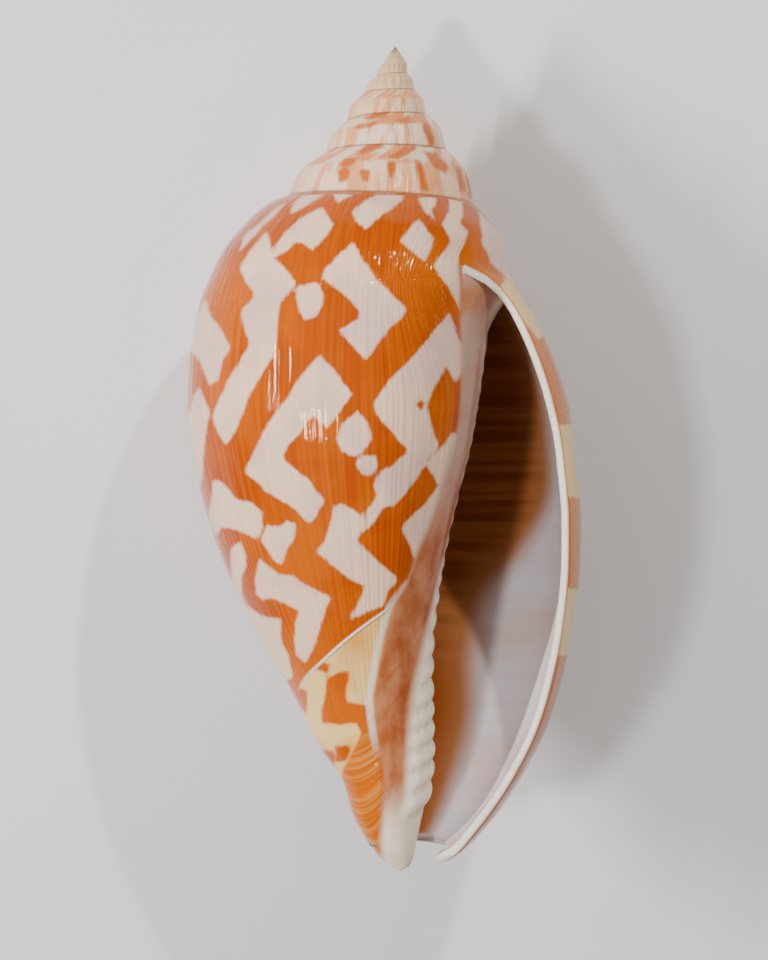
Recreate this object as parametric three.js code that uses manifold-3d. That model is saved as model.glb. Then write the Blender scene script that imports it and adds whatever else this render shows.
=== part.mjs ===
// A bat volute sea shell, grown as one piece, lying on its back with the opening up.
// Millimetres, +Z up, the apex toward +Y, the outer lip toward +X.
// The shell is drawn first in its own frame: a station s runs down the coiling axis from the apex,
// an angle turn runs back along the growth from the lip (right 0, back 90, left 180, front 270),
// and a radius is measured from the gently bent axis. One closed surface follows the coil.
import * as THREE from 'three';
import { mergeVertices } from 'three/addons/utils/BufferGeometryUtils.js';
import Module from 'manifold-3d';

// Driving dimensions
const LENGTH = 90;
const COLUMNS = 36;                 // columns of faces in one turn
const STEP = 360 / COLUMNS;
const LIP_TURN = -20;               // nominal angle of the lip's column
const CANAL_END = 160;              // where the free edge of the canal meets the columella
const CAVITY_END = 280;             // how far back the hollow of the body whorl runs
const APEX_TURN = 2300;             // where the first whorl begins
const UPPER_ROWS = 6;               // rows from a suture to the next one
const BODY_ROWS = 13;               // rows from the ceiling of the hollow to the notch
const TIP_ROWS = 3;                 // rows from the notch to the tip of the columella
const LIP_THICKNESS = 0.95;
const WALL_THICKNESS = 1.45;
const LIP_TAPER = [LIP_TURN, LIP_TURN + 25];          // angles over which the wall thickens
const CANAL_CLOSING = [CANAL_END - 60, CANAL_END];    // angles over which it thins at the canal
const CEILING_DROP = 2.0;           // from the suture down to the ceiling of the hollow
const LIP_DROP = 1.1;               // the same where the lip meets the body whorl
const DROP_GROWTH = [308, 390];     // angles between which the one turns into the other
const CEILING_FADE = 4;             // how far the ceiling's shape carries down the wall
const SHOULDER_BULGE = 0.124;       // of the spire whorls, as a share of their side
const SHOULDER_ROUND = 0.28;        // how softly the shoulder bends
const SHOULDER_PLACE = 0.49;        // share of the side that lies above the shoulder
const SPIRE_BLEND = [250, 320];     // angles between which the body whorl turns into the spire
const COVER_FROM = 308;             // angle from which the next whorl covers this one
const LEAN_FADE = [74, 85];         // stations over which sections stop leaning with the axis
const RIM_BULGE = 0.35;             // of the rounded rim, as a share of its thickness
const REST_PITCH = -10;             // degrees about the crosswise line
const FLAT_DEPTH = 0.35;            // of the small flat spot it rests on

// The bent axis: station, offset to the right
const AXIS = [[0, 0], [7, -0.48], [16, -0.92], [31, -1.46], [45, -1.68], [61, -1.68], [74, -1.46],
  [82.4, -1.13], [86, -0.75], [88.5, -0.2], [90, 0.5]];

// The suture: angle, station, radius
const SUTURE = [[-60, 24.0, 15.1], [0, 25.1, 14.0], [90, 20.9, 12.5], [180, 16.9, 10.9],
  [270, 16.9, 10.1], [360, 17.0, 9.5], [450, 14.5, 8.2], [540, 12.2, 7.0], [630, 11.4, 6.6],
  [720, 11.0, 6.3], [810, 9.8, 5.5], [900, 8.6, 4.9], [990, 7.7, 4.3], [1080, 7.1, 3.8],
  [1260, 5.5, 3.2], [1440, 4.5, 2.4], [1620, 3.5, 1.85], [1800, 2.7, 1.45], [1980, 1.9, 1.15],
  [2160, 1.1, 0.9], [2340, 0.4, 0.6]];

// Lines of the body whorl at set angles: station, radius
const BODY = [
  { turn: -60, line: [[24.0, 15.1], [26.0, 16.2], [29.4, 18.0], [33.2, 19.9], [37.8, 21.5],
    [41.6, 22.3], [45.3, 22.8], [51.8, 23.2], [56.5, 23.1], [63.9, 22.3], [70.1, 20.8],
    [75.5, 18.6], [79.5, 16.0], [83.0, 13.0], [86.0, 10.2], [88.2, 8.2], [89.2, 6.6], [90, 0]] },
  { turn: 0, line: [[25.1, 14.0], [26.9, 15.05], [29.4, 16.7], [33.2, 18.5], [37.8, 20.2],
    [41.6, 21.0], [45.3, 21.4], [51.8, 21.9], [56.5, 21.8], [63.9, 20.9], [70.1, 19.4],
    [75.5, 17.5], [79.5, 15.3], [83.0, 12.8], [86.0, 9.9], [87.6, 7.9], [88.6, 6.0], [90, 0]] },
  { turn: 90, line: [[20.9, 12.5], [22.3, 13.9], [25.0, 16.2], [28.5, 18.4], [33.0, 20.2],
    [37.5, 21.1], [42.0, 21.5], [46.5, 21.5], [51.0, 21.1], [57.0, 19.8], [63.0, 17.7],
    [69.0, 15.0], [74.0, 12.4], [78.5, 10.0], [82.0, 8.2], [84.8, 6.7], [86.8, 5.5], [90, 0]] },
  { turn: 180, line: [[16.9, 10.9], [17.3, 12.0], [18.3, 13.6], [20.4, 15.6], [22.9, 17.5],
    [25.6, 18.8], [28.1, 19.8], [31.0, 20.5], [34.8, 21.0], [39.3, 21.1], [45.3, 20.3],
    [52.4, 18.5], [58.5, 16.1], [64.7, 12.9], [71.1, 9.2], [75.6, 7.2], [80.7, 4.3], [83.5, 3.7],
    [85.6, 2.9], [87.4, 2.0], [89.0, 0.9], [90, 0]] },
  { turn: 270, line: [[16.9, 10.1], [17.9, 11.3], [19.4, 12.8], [21.5, 14.4], [24.0, 15.6],
    [28.0, 16.5], [32.7, 16.9], [38.0, 16.9], [43.0, 16.3], [48.0, 15.0], [54.5, 12.8],
    [60.0, 10.7], [65.5, 8.7], [71.0, 7.0], [76.4, 5.4], [81.0, 4.4], [85.0, 3.3], [88.0, 1.9],
    [90, 0]] },
  { turn: 360, line: [[17.0, 9.5], [18.4, 10.9], [20.4, 12.7], [22.2, 13.5], [25.1, 14.0],
    [27.0, 13.6], [29.0, 12.5], [31.1, 11.6], [33.3, 11.2], [37.5, 10.7], [40.9, 10.15],
    [44.5, 9.4], [48.9, 8.2], [54.1, 6.9], [59.9, 5.8], [65.2, 5.2], [70.4, 5.0], [77.0, 5.0],
    [81.4, 4.6], [85.2, 3.5], [88.3, 2.3], [89.5, 1.3], [90, 0]] },
  { turn: 450, line: [[14.5, 8.2], [16.5, 10.4], [20.9, 12.5], [25.0, 13.0], [30.0, 12.4],
    [35.0, 11.2], [40.0, 9.7], [48.0, 7.4], [55.0, 5.8], [62.0, 4.8], [70.0, 4.4], [78.0, 4.2],
    [84.0, 3.2], [88.0, 2.0], [90, 0]] },
  { turn: 540, line: [[12.2, 7.0], [14.0, 9.3], [16.9, 10.9], [21.0, 12.2], [26.0, 12.4],
    [34.9, 10.7], [41.5, 8.7], [49.0, 6.3], [56.7, 4.8], [65.5, 4.0], [76.4, 3.7], [84.0, 3.1],
    [88.0, 1.9], [90, 0]] },
  { turn: 640, line: [[11.3, 6.6], [13.4, 8.7], [16.9, 10.0], [21.0, 11.3], [26.0, 11.4],
    [34.9, 9.8], [41.5, 7.9], [49.0, 5.8], [56.7, 4.4], [65.5, 3.8], [76.4, 3.5], [84.0, 2.9],
    [88.0, 1.8], [90, 0]] },
];

// Station of the free edge at the front end and of the row beside it: angle, station
const NOTCH = [[-60, 89.2], [-20, 88.9], [0, 88.2], [33, 87.3], [60, 86.9], [90, 86.8],
  [130, 87.2], [160, 87.3], [270, 87.0], [360, 87.0], [520, 87.3], [640, 87.3]];

// The spiral row that becomes the next suture, on the part of the whorl that nothing covers yet
const COVER_LINE = [[-60, 41], [0, 38.5], [90, 34], [180, 30.5], [270, 26.5], [308, 24.2]];

// How far the lip's edge is drawn round to the front, by the distance below the suture
const LIP_SWEEP = [[0, -35], [1, -24], [2, -17], [4, -12], [7, -10], [13, -8], [20, -5], [80, -4]];
const SWEEP_FADE = 80;
const SWEEP_END = 340;              // angle where the body whorl is met by its own lip
const SWEEP_HEIGHT = 14;            // how far below the ceiling the core follows the lip's sweep

// Teeth on the inner lip: station, height
const TEETH = [[33, 0.2], [35.2, 0.22], [37.5, 0.24], [39.5, 0.26], [41.3, 0.28], [43.1, 0.3],
  [44.9, 0.3], [46.8, 0.32], [49.9, 0.36], [51.6, 0.4], [54.1, 0.45], [56.5, 0.5], [58.0, 0.5],
  [60.0, 0.55], [62.4, 0.6], [65.3, 0.65], [67.7, 0.7], [70.4, 0.75], [72.5, 0.75], [74.7, 0.75],
  [77.0, 0.75], [79.1, 0.7], [81.5, 0.6]];
const TOOTH_TURN = 352;
const TOOTH_WIDTH = 0.8;
const TOOTH_LENGTH = 1.9;
const TOOTH_LEAN = { turn: 8, rise: 0.4 };

// Interpolates smoothly through points given as [x, value], without overshoot
function through(points, column = 1) {
  const n = points.length;
  const x = points.map((p) => p[0]);
  const y = points.map((p) => p[column]);
  const slope = x.slice(1).map((v, i) => (y[i + 1] - y[i]) / (v - x[i]));
  const m = x.map((_, i) => {
    if (i === 0) return slope[0];
    if (i === n - 1) return slope[n - 2];
    const a = slope[i - 1];
    const b = slope[i];
    return a * b <= 0 ? 0 : (2 * a * b) / (a + b);
  });
  return (v) => {
    const c = Math.min(Math.max(v, x[0]), x[n - 1]);
    let i = 0;
    while (i < n - 2 && c > x[i + 1]) i += 1;
    const h = x[i + 1] - x[i];
    const t = (c - x[i]) / h;
    const t2 = t * t;
    const t3 = t2 * t;
    return (2 * t3 - 3 * t2 + 1) * y[i] + (t3 - 2 * t2 + t) * h * m[i]
      + (3 * t2 - 2 * t3) * y[i + 1] + (t3 - t2) * h * m[i + 1];
  };
}

const smooth = (a, b, v) => THREE.MathUtils.smoothstep(v, a, b);
const mix = THREE.MathUtils.lerp;

const axisOffset = through(AXIS);
const sutureStation = through(SUTURE, 1);
const sutureRadius = through(SUTURE, 2);
const notchStation = through(NOTCH);
const coverLine = through(COVER_LINE);
const lipSweep = through(LIP_SWEEP);
const bodyLines = BODY.map(({ turn, line }) => ({ turn, from: line[0][0], radius: through(line) }));

// Radius of the body whorl and of the columella behind it
function bodyRadius(turn, station) {
  const start = sutureStation(turn);
  const share = Math.max(0, (station - start) / (LENGTH - start));
  const keys = bodyLines.map(({ turn: at, from, radius }) =>
    [at, radius(from + share * (LENGTH - from))]);
  return through(keys)(turn);
}

// The point where a whorl is met by the one after it
function coverPoint(turn) {
  if (turn >= COVER_FROM) return [sutureRadius(turn - 360), sutureStation(turn - 360)];
  const station = coverLine(turn);
  return [bodyRadius(turn, station), station];
}

// A spire whorl's side: a straight ramp and side with a rounded shoulder between them
function spirePoint(turn, share) {
  const top = [sutureRadius(turn), sutureStation(turn)];
  const low = coverPoint(turn);
  const dr = low[0] - top[0];
  const ds = low[1] - top[1];
  const across = 2 * (share - SHOULDER_PLACE);
  const edge = Math.hypot(1, SHOULDER_ROUND);
  const peak = (edge - Math.hypot(across, SHOULDER_ROUND)) / (edge - SHOULDER_ROUND);
  const out = SHOULDER_BULGE * Math.max(0, peak);
  return [top[0] + share * dr + out * ds, top[1] + share * ds - out * dr];
}

// A point of the upper part of a whorl, from its suture to the line where the next whorl covers it
function upperPoint(turn, share) {
  const spire = spirePoint(turn, share);
  const blend = smooth(...SPIRE_BLEND, turn);
  if (blend >= 1) return spire;
  const station = mix(sutureStation(turn), coverPoint(turn)[1], share);
  return [mix(bodyRadius(turn, station), spire[0], blend), mix(station, spire[1], blend)];
}

// A row's place down the whorl as [radius, station]
const COVER_ROW = UPPER_ROWS;
const CEILING_ROW = UPPER_ROWS + 2;
const NOTCH_ROW = CEILING_ROW + BODY_ROWS;

const ceilingDrop = (turn) => mix(LIP_DROP, CEILING_DROP, smooth(...DROP_GROWTH, turn));

function rowPoint(turn, row) {
  if (row <= COVER_ROW) return upperPoint(turn, row / COVER_ROW);
  const cover = coverPoint(turn)[1];
  const ceiling = cover + ceilingDrop(turn);
  const notch = notchStation(turn);
  let station = mix(cover, ceiling, (row - COVER_ROW) / 2);
  if (row > CEILING_ROW) station = mix(ceiling, notch, (row - CEILING_ROW) / BODY_ROWS);
  if (row > NOTCH_ROW) station = mix(notch, LENGTH, (row - NOTCH_ROW) / TIP_ROWS);
  return [bodyRadius(turn, station), station];
}

// Draws the columns near the lip round to the front, so that its edge curls up to the suture
function swept(nominal, row) {
  const below = rowPoint(nominal, row)[1] - sutureStation(nominal);
  const outer = lipSweep(below) * (1 - smooth(LIP_TURN, LIP_TURN + SWEEP_FADE, nominal));
  if (nominal < SWEEP_END - SWEEP_FADE) return nominal + outer;
  const side = 1 - smooth(0, SWEEP_FADE, Math.abs(nominal - SWEEP_END));
  const ceiling = coverPoint(nominal)[1] + ceilingDrop(nominal);
  const height = row <= COVER_ROW
    ? smooth(0, 1, row / COVER_ROW)
    : 1 - smooth(0, SWEEP_HEIGHT, rowPoint(nominal, row)[1] - ceiling);
  return nominal + lipSweep(0) * side * height;
}

// From radius, angle and station to the shell's own frame
function place(turn, [radius, station]) {
  const bend = axisOffset(station + 0.5) - axisOffset(station - 0.5);
  const lean = bend * (1 - smooth(...LEAN_FADE, station));
  const long = Math.hypot(1, lean);
  const a = THREE.MathUtils.degToRad(turn);
  const across = radius * Math.cos(a);
  return new THREE.Vector3(
    axisOffset(station) + across / long,
    radius * Math.sin(a),
    -station + (across * lean) / long,
  );
}

function outerPoint(nominal, row) {
  const turn = swept(nominal, row);
  return place(turn, rowPoint(turn, row));
}

// The inner face of the body whorl, a wall's thickness in from the outer one
function innerPoint(nominal, row) {
  const turn = swept(nominal, row);
  const here = rowPoint(turn, row);
  const before = rowPoint(turn, Math.max(row - 1, 0));
  const after = rowPoint(turn, Math.min(row + 1, NOTCH_ROW));
  const dr = after[0] - before[0];
  const ds = after[1] - before[1];
  const long = Math.hypot(dr, ds);
  const closing = smooth(...CANAL_CLOSING, nominal) * smooth(NOTCH_ROW - TIP_ROWS, NOTCH_ROW, row);
  const wall = mix(LIP_THICKNESS, WALL_THICKNESS, smooth(...LIP_TAPER, nominal)) * (1 - closing);
  const drop = ceilingDrop(turn + 360);
  const ceiling = sutureStation(turn) + drop;
  const top = [bodyRadius(turn + 360, ceiling) - sutureRadius(turn), drop];
  const near = 1 - smooth(0, CEILING_FADE, here[1] - sutureStation(turn));
  const shift = [mix((-wall * ds) / long, top[0], near), mix((wall * dr) / long, top[1], near)];
  return place(turn, [here[0] + shift[0], here[1] + shift[1]]);
}

// Builds the whole surface as one welded mesh
function shellGeometry() {
  const points = [];
  const faces = [];
  const names = new Map();
  const vertex = (key, make) => {
    if (!names.has(key)) {
      names.set(key, points.length);
      points.push(make());
    }
    return names.get(key);
  };
  const columnTurn = (column) => LIP_TURN + column * STEP;
  const tipColumn = Math.round((CANAL_END - LIP_TURN) / STEP);
  const endColumn = Math.round((CAVITY_END - LIP_TURN) / STEP);
  const apexColumn = Math.round((APEX_TURN - LIP_TURN) / STEP);
  const apex = vertex('apex', () => place(0, [0, 0]));
  const tip = vertex('tip', () => place(0, [0, LENGTH]));

  // The outer face; a suture's points belong to the whorl above it
  const outer = (column, row) => {
    if (row === 0) return column + COLUMNS > apexColumn ? apex : outer(column + COLUMNS, COVER_ROW);
    if (row > NOTCH_ROW) {
      if (row === NOTCH_ROW + TIP_ROWS) return tip;
      const turn = columnTurn(column >= tipColumn + COLUMNS ? column - COLUMNS : column);
      return vertex(`o${turn}/${row}`, () => outerPoint(turn, row));
    }
    if (row === NOTCH_ROW && column === tipColumn + COLUMNS) return outer(tipColumn, row);
    return vertex(`o${columnTurn(column)}/${row}`, () => outerPoint(columnTurn(column), row));
  };
  // The inner face; it shares its upper edge and the closed part of its lower edge with the core
  const inner = (column, row) => {
    if (row === 0) return outer(column + COLUMNS, CEILING_ROW);
    if (row === NOTCH_ROW && column >= tipColumn) return outer(column + COLUMNS, NOTCH_ROW);
    return vertex(`i${columnTurn(column)}/${row}`, () => innerPoint(columnTurn(column), row));
  };
  // The rounded rim between the two faces, with one row along its middle
  const rim = (column, row) => {
    if (row === 0) return outer(column + COLUMNS, COVER_ROW + 1);
    if (row === NOTCH_ROW && column === tipColumn) return outer(column, row);
    return vertex(`r${columnTurn(column)}/${row}`, () => {
      const a = points[outer(column, row)];
      const b = points[inner(column, row)];
      const inward = row === NOTCH_ROW ? outerPoint(columnTurn(column), row - 1)
        : outerPoint(columnTurn(column + 1), row);
      const middle = a.clone().add(b).multiplyScalar(0.5);
      const out = a.clone().sub(inward).normalize();
      return middle.addScaledVector(out, RIM_BULGE * a.distanceTo(b));
    });
  };
  const face = (a, b, c) => {
    if (a !== b && b !== c && c !== a) faces.push(a, c, b);
  };
  const quad = (a, b, c, d) => {
    face(a, b, c);
    face(a, c, d);
  };

  for (let column = 0; column < apexColumn; column += 1) {
    const next = column + 1;
    const open = column < tipColumn;
    let rows = COVER_ROW;
    if (column < COLUMNS) rows = open ? NOTCH_ROW : NOTCH_ROW + TIP_ROWS;
    for (let row = 0; row < rows; row += 1) {
      quad(outer(column, row), outer(next, row), outer(next, row + 1), outer(column, row + 1));
    }
    // The core inside the body whorl
    if (column >= COLUMNS && column < endColumn + COLUMNS) {
      const last = column < tipColumn + COLUMNS ? NOTCH_ROW + TIP_ROWS : NOTCH_ROW;
      for (let row = CEILING_ROW; row < last; row += 1) {
        quad(outer(column, row), outer(next, row), outer(next, row + 1), outer(column, row + 1));
      }
    }
    if (column < endColumn) {
      for (let row = 0; row < NOTCH_ROW; row += 1) {
        quad(inner(column, row), inner(column, row + 1), inner(next, row + 1), inner(next, row));
      }
    }
    if (open) {
      const row = NOTCH_ROW;
      quad(outer(column, row), outer(next, row), rim(next, row), rim(column, row));
      quad(rim(column, row), rim(next, row), inner(next, row), inner(column, row));
    }
  }
  // The lip's rim
  for (let row = 0; row < NOTCH_ROW; row += 1) {
    quad(outer(0, row), outer(0, row + 1), rim(0, row + 1), rim(0, row));
    quad(rim(0, row), rim(0, row + 1), inner(0, row + 1), inner(0, row));
  }
  // The closed end of the hollow, between the inner face and the core
  const wallRows = NOTCH_ROW;
  const coreRows = NOTCH_ROW - CEILING_ROW;
  let w = 0;
  let c = 0;
  while (w < wallRows || c < coreRows) {
    const wall = inner(endColumn, w);
    const core = outer(endColumn + COLUMNS, CEILING_ROW + c);
    if (c * wallRows > w * coreRows || c === coreRows) {
      w += 1;
      face(wall, inner(endColumn, w), core);
    } else {
      c += 1;
      face(wall, outer(endColumn + COLUMNS, CEILING_ROW + c), core);
    }
  }
  // The first whorl's beginning at the apex
  for (let row = 0; row < COVER_ROW; row += 1) {
    face(apex, outer(apexColumn, row + 1), outer(apexColumn, row));
  }

  const geometry = new THREE.BufferGeometry();
  const flat = points.flatMap((p) => [p.x, p.y, p.z]);
  geometry.setAttribute('position', new THREE.Float32BufferAttribute(flat, 3));
  geometry.setIndex(faces);
  return geometry;
}

// One tooth: a small ellipsoid half sunk in the edge of the inner lip, leaning along the growth
function toothGeometry([station, height]) {
  const geometry = new THREE.SphereGeometry(1, 8, 5);
  const foot = place(TOOTH_TURN, [bodyRadius(TOOTH_TURN, station), station]);
  const ahead = TOOTH_TURN + TOOTH_LEAN.turn;
  const above = station - TOOTH_LEAN.rise;
  const along = place(ahead, [bodyRadius(ahead, above), above]).sub(foot).normalize();
  const down = place(TOOTH_TURN, [bodyRadius(TOOTH_TURN, station + 1), station + 1])
    .sub(foot).normalize();
  const out = new THREE.Vector3().crossVectors(along, down).normalize();
  const side = new THREE.Vector3().crossVectors(out, along);
  const basis = new THREE.Matrix4().makeBasis(
    along.multiplyScalar(TOOTH_LENGTH),
    side.multiplyScalar(TOOTH_WIDTH),
    out.multiplyScalar(height * 2),
  );
  basis.setPosition(foot.addScaledVector(out, -height / 2));
  return geometry.applyMatrix4(basis);
}

// Lays the shell on its back: the apex points along +Y and the opening up
function layDown(geometry) {
  geometry.rotateX(-Math.PI / 2);
  geometry.rotateX(THREE.MathUtils.degToRad(REST_PITCH));
  return geometry;
}

const wasm = await Module();
wasm.setup();
const WELD = 1e-5;
const FLAT_TOLERANCE = 1e-3;

// Turns a closed geometry into a solid, and a solid back into a geometry
function toSolid(geometry) {
  const bare = geometry.clone();
  bare.deleteAttribute('normal');
  bare.deleteAttribute('uv');
  const welded = mergeVertices(bare, WELD);
  return new wasm.Manifold(new wasm.Mesh({
    numProp: 3,
    vertProperties: new Float32Array(welded.getAttribute('position').array),
    triVerts: new Uint32Array(welded.getIndex().array),
  }));
}

function toGeometry(solid) {
  const { vertProperties, triVerts } = solid.getMesh();
  const geometry = new THREE.BufferGeometry();
  geometry.setAttribute('position', new THREE.BufferAttribute(vertProperties, 3));
  geometry.setIndex(new THREE.BufferAttribute(triVerts, 1));
  return geometry;
}

// Cuts the flat spot and sets its middle at the origin
function cutFlatSpot(solid) {
  const box = new THREE.BoxGeometry(2 * LENGTH, 2 * LENGTH, LENGTH);
  const whole = toGeometry(solid);
  whole.computeBoundingBox();
  const floor = whole.boundingBox.min.z + FLAT_DEPTH;
  box.translate(0, 0, floor + LENGTH / 2);
  const geometry = toGeometry(solid.intersect(toSolid(box)));
  geometry.translate(0, 0, -floor);
  const spot = new THREE.Box2();
  const position = geometry.getAttribute('position');
  for (let i = 0; i < position.count; i += 1) {
    if (position.getZ(i) > FLAT_TOLERANCE) continue;
    spot.expandByPoint(new THREE.Vector2(position.getX(i), position.getY(i)));
  }
  const middle = spot.getCenter(new THREE.Vector2());
  return geometry.translate(-middle.x, -middle.y, 0);
}

let grown = toSolid(layDown(shellGeometry()));
for (const tooth of TEETH) grown = grown.add(toSolid(layDown(toothGeometry(tooth))));

const shell = new THREE.Mesh(
  cutFlatSpot(grown),
  new THREE.MeshStandardMaterial({ color: 0xcc7426, roughness: 0.25, metalness: 0 }),
);
shell.name = 'shell';
const model = new THREE.Group();
model.add(shell);
export default model;
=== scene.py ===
import math

import bpy
import numpy as np
from mathutils import Matrix, Vector


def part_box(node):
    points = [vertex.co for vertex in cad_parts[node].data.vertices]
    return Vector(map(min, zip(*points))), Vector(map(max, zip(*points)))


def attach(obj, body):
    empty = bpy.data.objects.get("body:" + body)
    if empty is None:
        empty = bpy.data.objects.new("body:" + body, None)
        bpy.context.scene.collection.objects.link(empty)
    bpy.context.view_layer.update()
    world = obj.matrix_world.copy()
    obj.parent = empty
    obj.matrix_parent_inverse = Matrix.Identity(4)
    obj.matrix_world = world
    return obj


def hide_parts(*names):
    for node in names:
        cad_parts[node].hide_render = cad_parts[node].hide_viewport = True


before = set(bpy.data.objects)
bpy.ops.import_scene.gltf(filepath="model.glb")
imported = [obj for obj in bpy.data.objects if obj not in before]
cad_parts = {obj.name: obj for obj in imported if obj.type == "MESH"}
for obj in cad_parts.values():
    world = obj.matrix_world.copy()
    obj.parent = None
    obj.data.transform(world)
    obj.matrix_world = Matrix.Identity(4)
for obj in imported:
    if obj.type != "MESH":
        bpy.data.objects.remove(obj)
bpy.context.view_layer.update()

bl_info = {
    "name": "Bat volute shell",
    "version": (1, 0, 0),
    "blender": (4, 5, 0),
    "location": "3D View > Sidebar > Shell",
    "description": "Grows a glossy orange and white volute shell and lights it on a pale floor",
    "category": "Add Mesh",
}

# The shell's own frame is in millimetres: a station runs down the coiling axis from the apex, a turn
# runs back along the growth from the lip (right 0, back 90, left 180, front 270), and a radius is
# measured from the gently bent axis.
MM = 0.001
LENGTH = 90.0
LIP_TURN = -20.0
CANAL_END = 160.0
CAVITY_END = 280.0
APEX_TURN = 2300.0
LIP_THICKNESS = 0.95
RIM_ROUND = 0.8
RIM_REACH = 1.5
WALL_THICKNESS = 1.45
WALL_FADE = 25.0
CEILING_DROP = 2.0
CEILING_REACH = 4.0
LIP_DROP = 1.1
DROP_GROWTH = (308.0, 390.0)
SHOULDER_BULGE = 0.124
SHOULDER_ROUND = 0.28
SHOULDER_SHARE = 0.49
UPPER_FADE = (250.0, 320.0)
REST_PITCH = -10.0
SWEEP_FADE = 80.0
SWEEP_REACH = 14.0
COVER_FROM = 308.0
LEAN_FADE = (74.0, 85.0)

# The inner face closes on the canal from this turn and level on
CLOSING_TURN = CANAL_END - 60
CLOSING_LEVEL = 2.77

# Levels across a whorl, from 0 at the suture, and the steps in level that find the wall's slope
# and the way inwards from the canal's rim
COVER_LEVEL = 1.0
CEILING_LEVEL = 2.0
NOTCH_LEVEL = 3.0
TIP_LEVEL = 4.0
LEVEL_STEP = 0.04
RIM_LEVEL_REACH = 0.01

# Turns that part the coil: the lip meets the whorl before it, the body inside the opening begins,
# the base ends, the body gives way to the spire, the callus ends, the teeth and the canal's rim
# may begin, and the colour of the outside fades to that of the hollow
MEETING_TURN = LIP_TURN + 360
OPENING_TURN = 345.0
BASE_END = 330.0
SPIRE_TURNS = (338.0, 372.0)
CALLUS_TURN = 400.0
LOBE_TURN = 200.0
CANAL_RIM_TURN = 5.0
INSIDE_FADE = (352.0, 385.0)
MEETING_WIDTH = 0.5

# Station and offset to the right of the bent axis
AXIS = [(0, 0), (7, -0.48), (16, -0.92), (31, -1.46), (45, -1.68), (61, -1.68), (74, -1.46),
        (82.4, -1.13), (86, -0.75), (88.5, -0.2), (90, 0.5)]

# Turn, station and radius of the suture
SUTURE = [(-60, 24.0, 15.1), (0, 25.1, 14.0), (90, 20.9, 12.5), (180, 16.9, 10.9),
          (270, 16.9, 10.1), (360, 17.0, 9.5), (450, 14.5, 8.2), (540, 12.2, 7.0),
          (630, 11.4, 6.6), (720, 11.0, 6.3), (810, 9.8, 5.5), (900, 8.6, 4.9), (990, 7.7, 4.3),
          (1080, 7.1, 3.8), (1260, 5.5, 3.2), (1440, 4.5, 2.4), (1620, 3.5, 1.85),
          (1800, 2.7, 1.45), (1980, 1.9, 1.15), (2160, 1.1, 0.9), (2340, 0.4, 0.6)]

# Lines of the body whorl at set turns, as station and radius
BODY = {
    -60: [(24.0, 15.1), (26.0, 16.2), (29.4, 18.0), (33.2, 19.9), (37.8, 21.5), (41.6, 22.3),
          (45.3, 22.8), (51.8, 23.2), (56.5, 23.1), (63.9, 22.3), (70.1, 20.8), (75.5, 18.6),
          (79.5, 16.0), (83.0, 13.0), (86.0, 10.2), (88.2, 8.2), (89.2, 6.6), (90, 0)],
    0: [(25.1, 14.0), (26.9, 15.05), (29.4, 16.7), (33.2, 18.5), (37.8, 20.2), (41.6, 21.0),
        (45.3, 21.4), (51.8, 21.9), (56.5, 21.8), (63.9, 20.9), (70.1, 19.4), (75.5, 17.5),
        (79.5, 15.3), (83.0, 12.8), (86.0, 9.9), (87.6, 7.9), (88.6, 6.0), (90, 0)],
    90: [(20.9, 12.5), (22.3, 13.9), (25.0, 16.2), (28.5, 18.4), (33.0, 20.2), (37.5, 21.1),
         (42.0, 21.5), (46.5, 21.5), (51.0, 21.1), (57.0, 19.8), (63.0, 17.7), (69.0, 15.0),
         (74.0, 12.4), (78.5, 10.0), (82.0, 8.2), (84.8, 6.7), (86.8, 5.5), (90, 0)],
    180: [(16.9, 10.9), (17.3, 12.0), (18.3, 13.6), (20.4, 15.6), (22.9, 17.5), (25.6, 18.8),
          (28.1, 19.8), (31.0, 20.5), (34.8, 21.0), (39.3, 21.1), (45.3, 20.3), (52.4, 18.5),
          (58.5, 16.1), (64.7, 12.9), (71.1, 9.2), (75.6, 7.2), (80.7, 4.3), (83.5, 3.7),
          (85.6, 2.9), (87.4, 2.0), (89.0, 0.9), (90, 0)],
    270: [(16.9, 10.1), (17.9, 11.3), (19.4, 12.8), (21.5, 14.4), (24.0, 15.6), (28.0, 16.5),
          (32.7, 16.9), (38.0, 16.9), (43.0, 16.3), (48.0, 15.0), (54.5, 12.8), (60.0, 10.7),
          (65.5, 8.7), (71.0, 7.0), (76.4, 5.4), (81.0, 4.4), (85.0, 3.3), (88.0, 1.9), (90, 0)],
    360: [(17.0, 9.5), (18.4, 10.9), (20.4, 12.7), (22.2, 13.5), (25.1, 14.0), (27.0, 13.6),
          (29.0, 12.5), (31.1, 11.6), (33.3, 11.2), (37.5, 10.7), (40.9, 10.15), (44.5, 9.4),
          (48.9, 8.2), (54.1, 6.9), (59.9, 5.8), (65.2, 5.2), (70.4, 5.0), (77.0, 5.0),
          (81.4, 4.6), (85.2, 3.5), (88.3, 2.3), (89.5, 1.3), (90, 0)],
    450: [(14.5, 8.2), (16.5, 10.4), (20.9, 12.5), (25.0, 13.0), (30.0, 12.4), (35.0, 11.2),
          (40.0, 9.7), (48.0, 7.4), (55.0, 5.8), (62.0, 4.8), (70.0, 4.4), (78.0, 4.2),
          (84.0, 3.2), (88.0, 2.0), (90, 0)],
    540: [(12.2, 7.0), (14.0, 9.3), (16.9, 10.9), (21.0, 12.2), (26.0, 12.4), (34.9, 10.7),
          (41.5, 8.7), (49.0, 6.3), (56.7, 4.8), (65.5, 4.0), (76.4, 3.7), (84.0, 3.1),
          (88.0, 1.9), (90, 0)],
    640: [(11.3, 6.6), (13.4, 8.7), (16.9, 10.0), (21.0, 11.3), (26.0, 11.4), (34.9, 9.8),
          (41.5, 7.9), (49.0, 5.8), (56.7, 4.4), (65.5, 3.8), (76.4, 3.5), (84.0, 2.9),
          (88.0, 1.8), (90, 0)],
}

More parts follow.
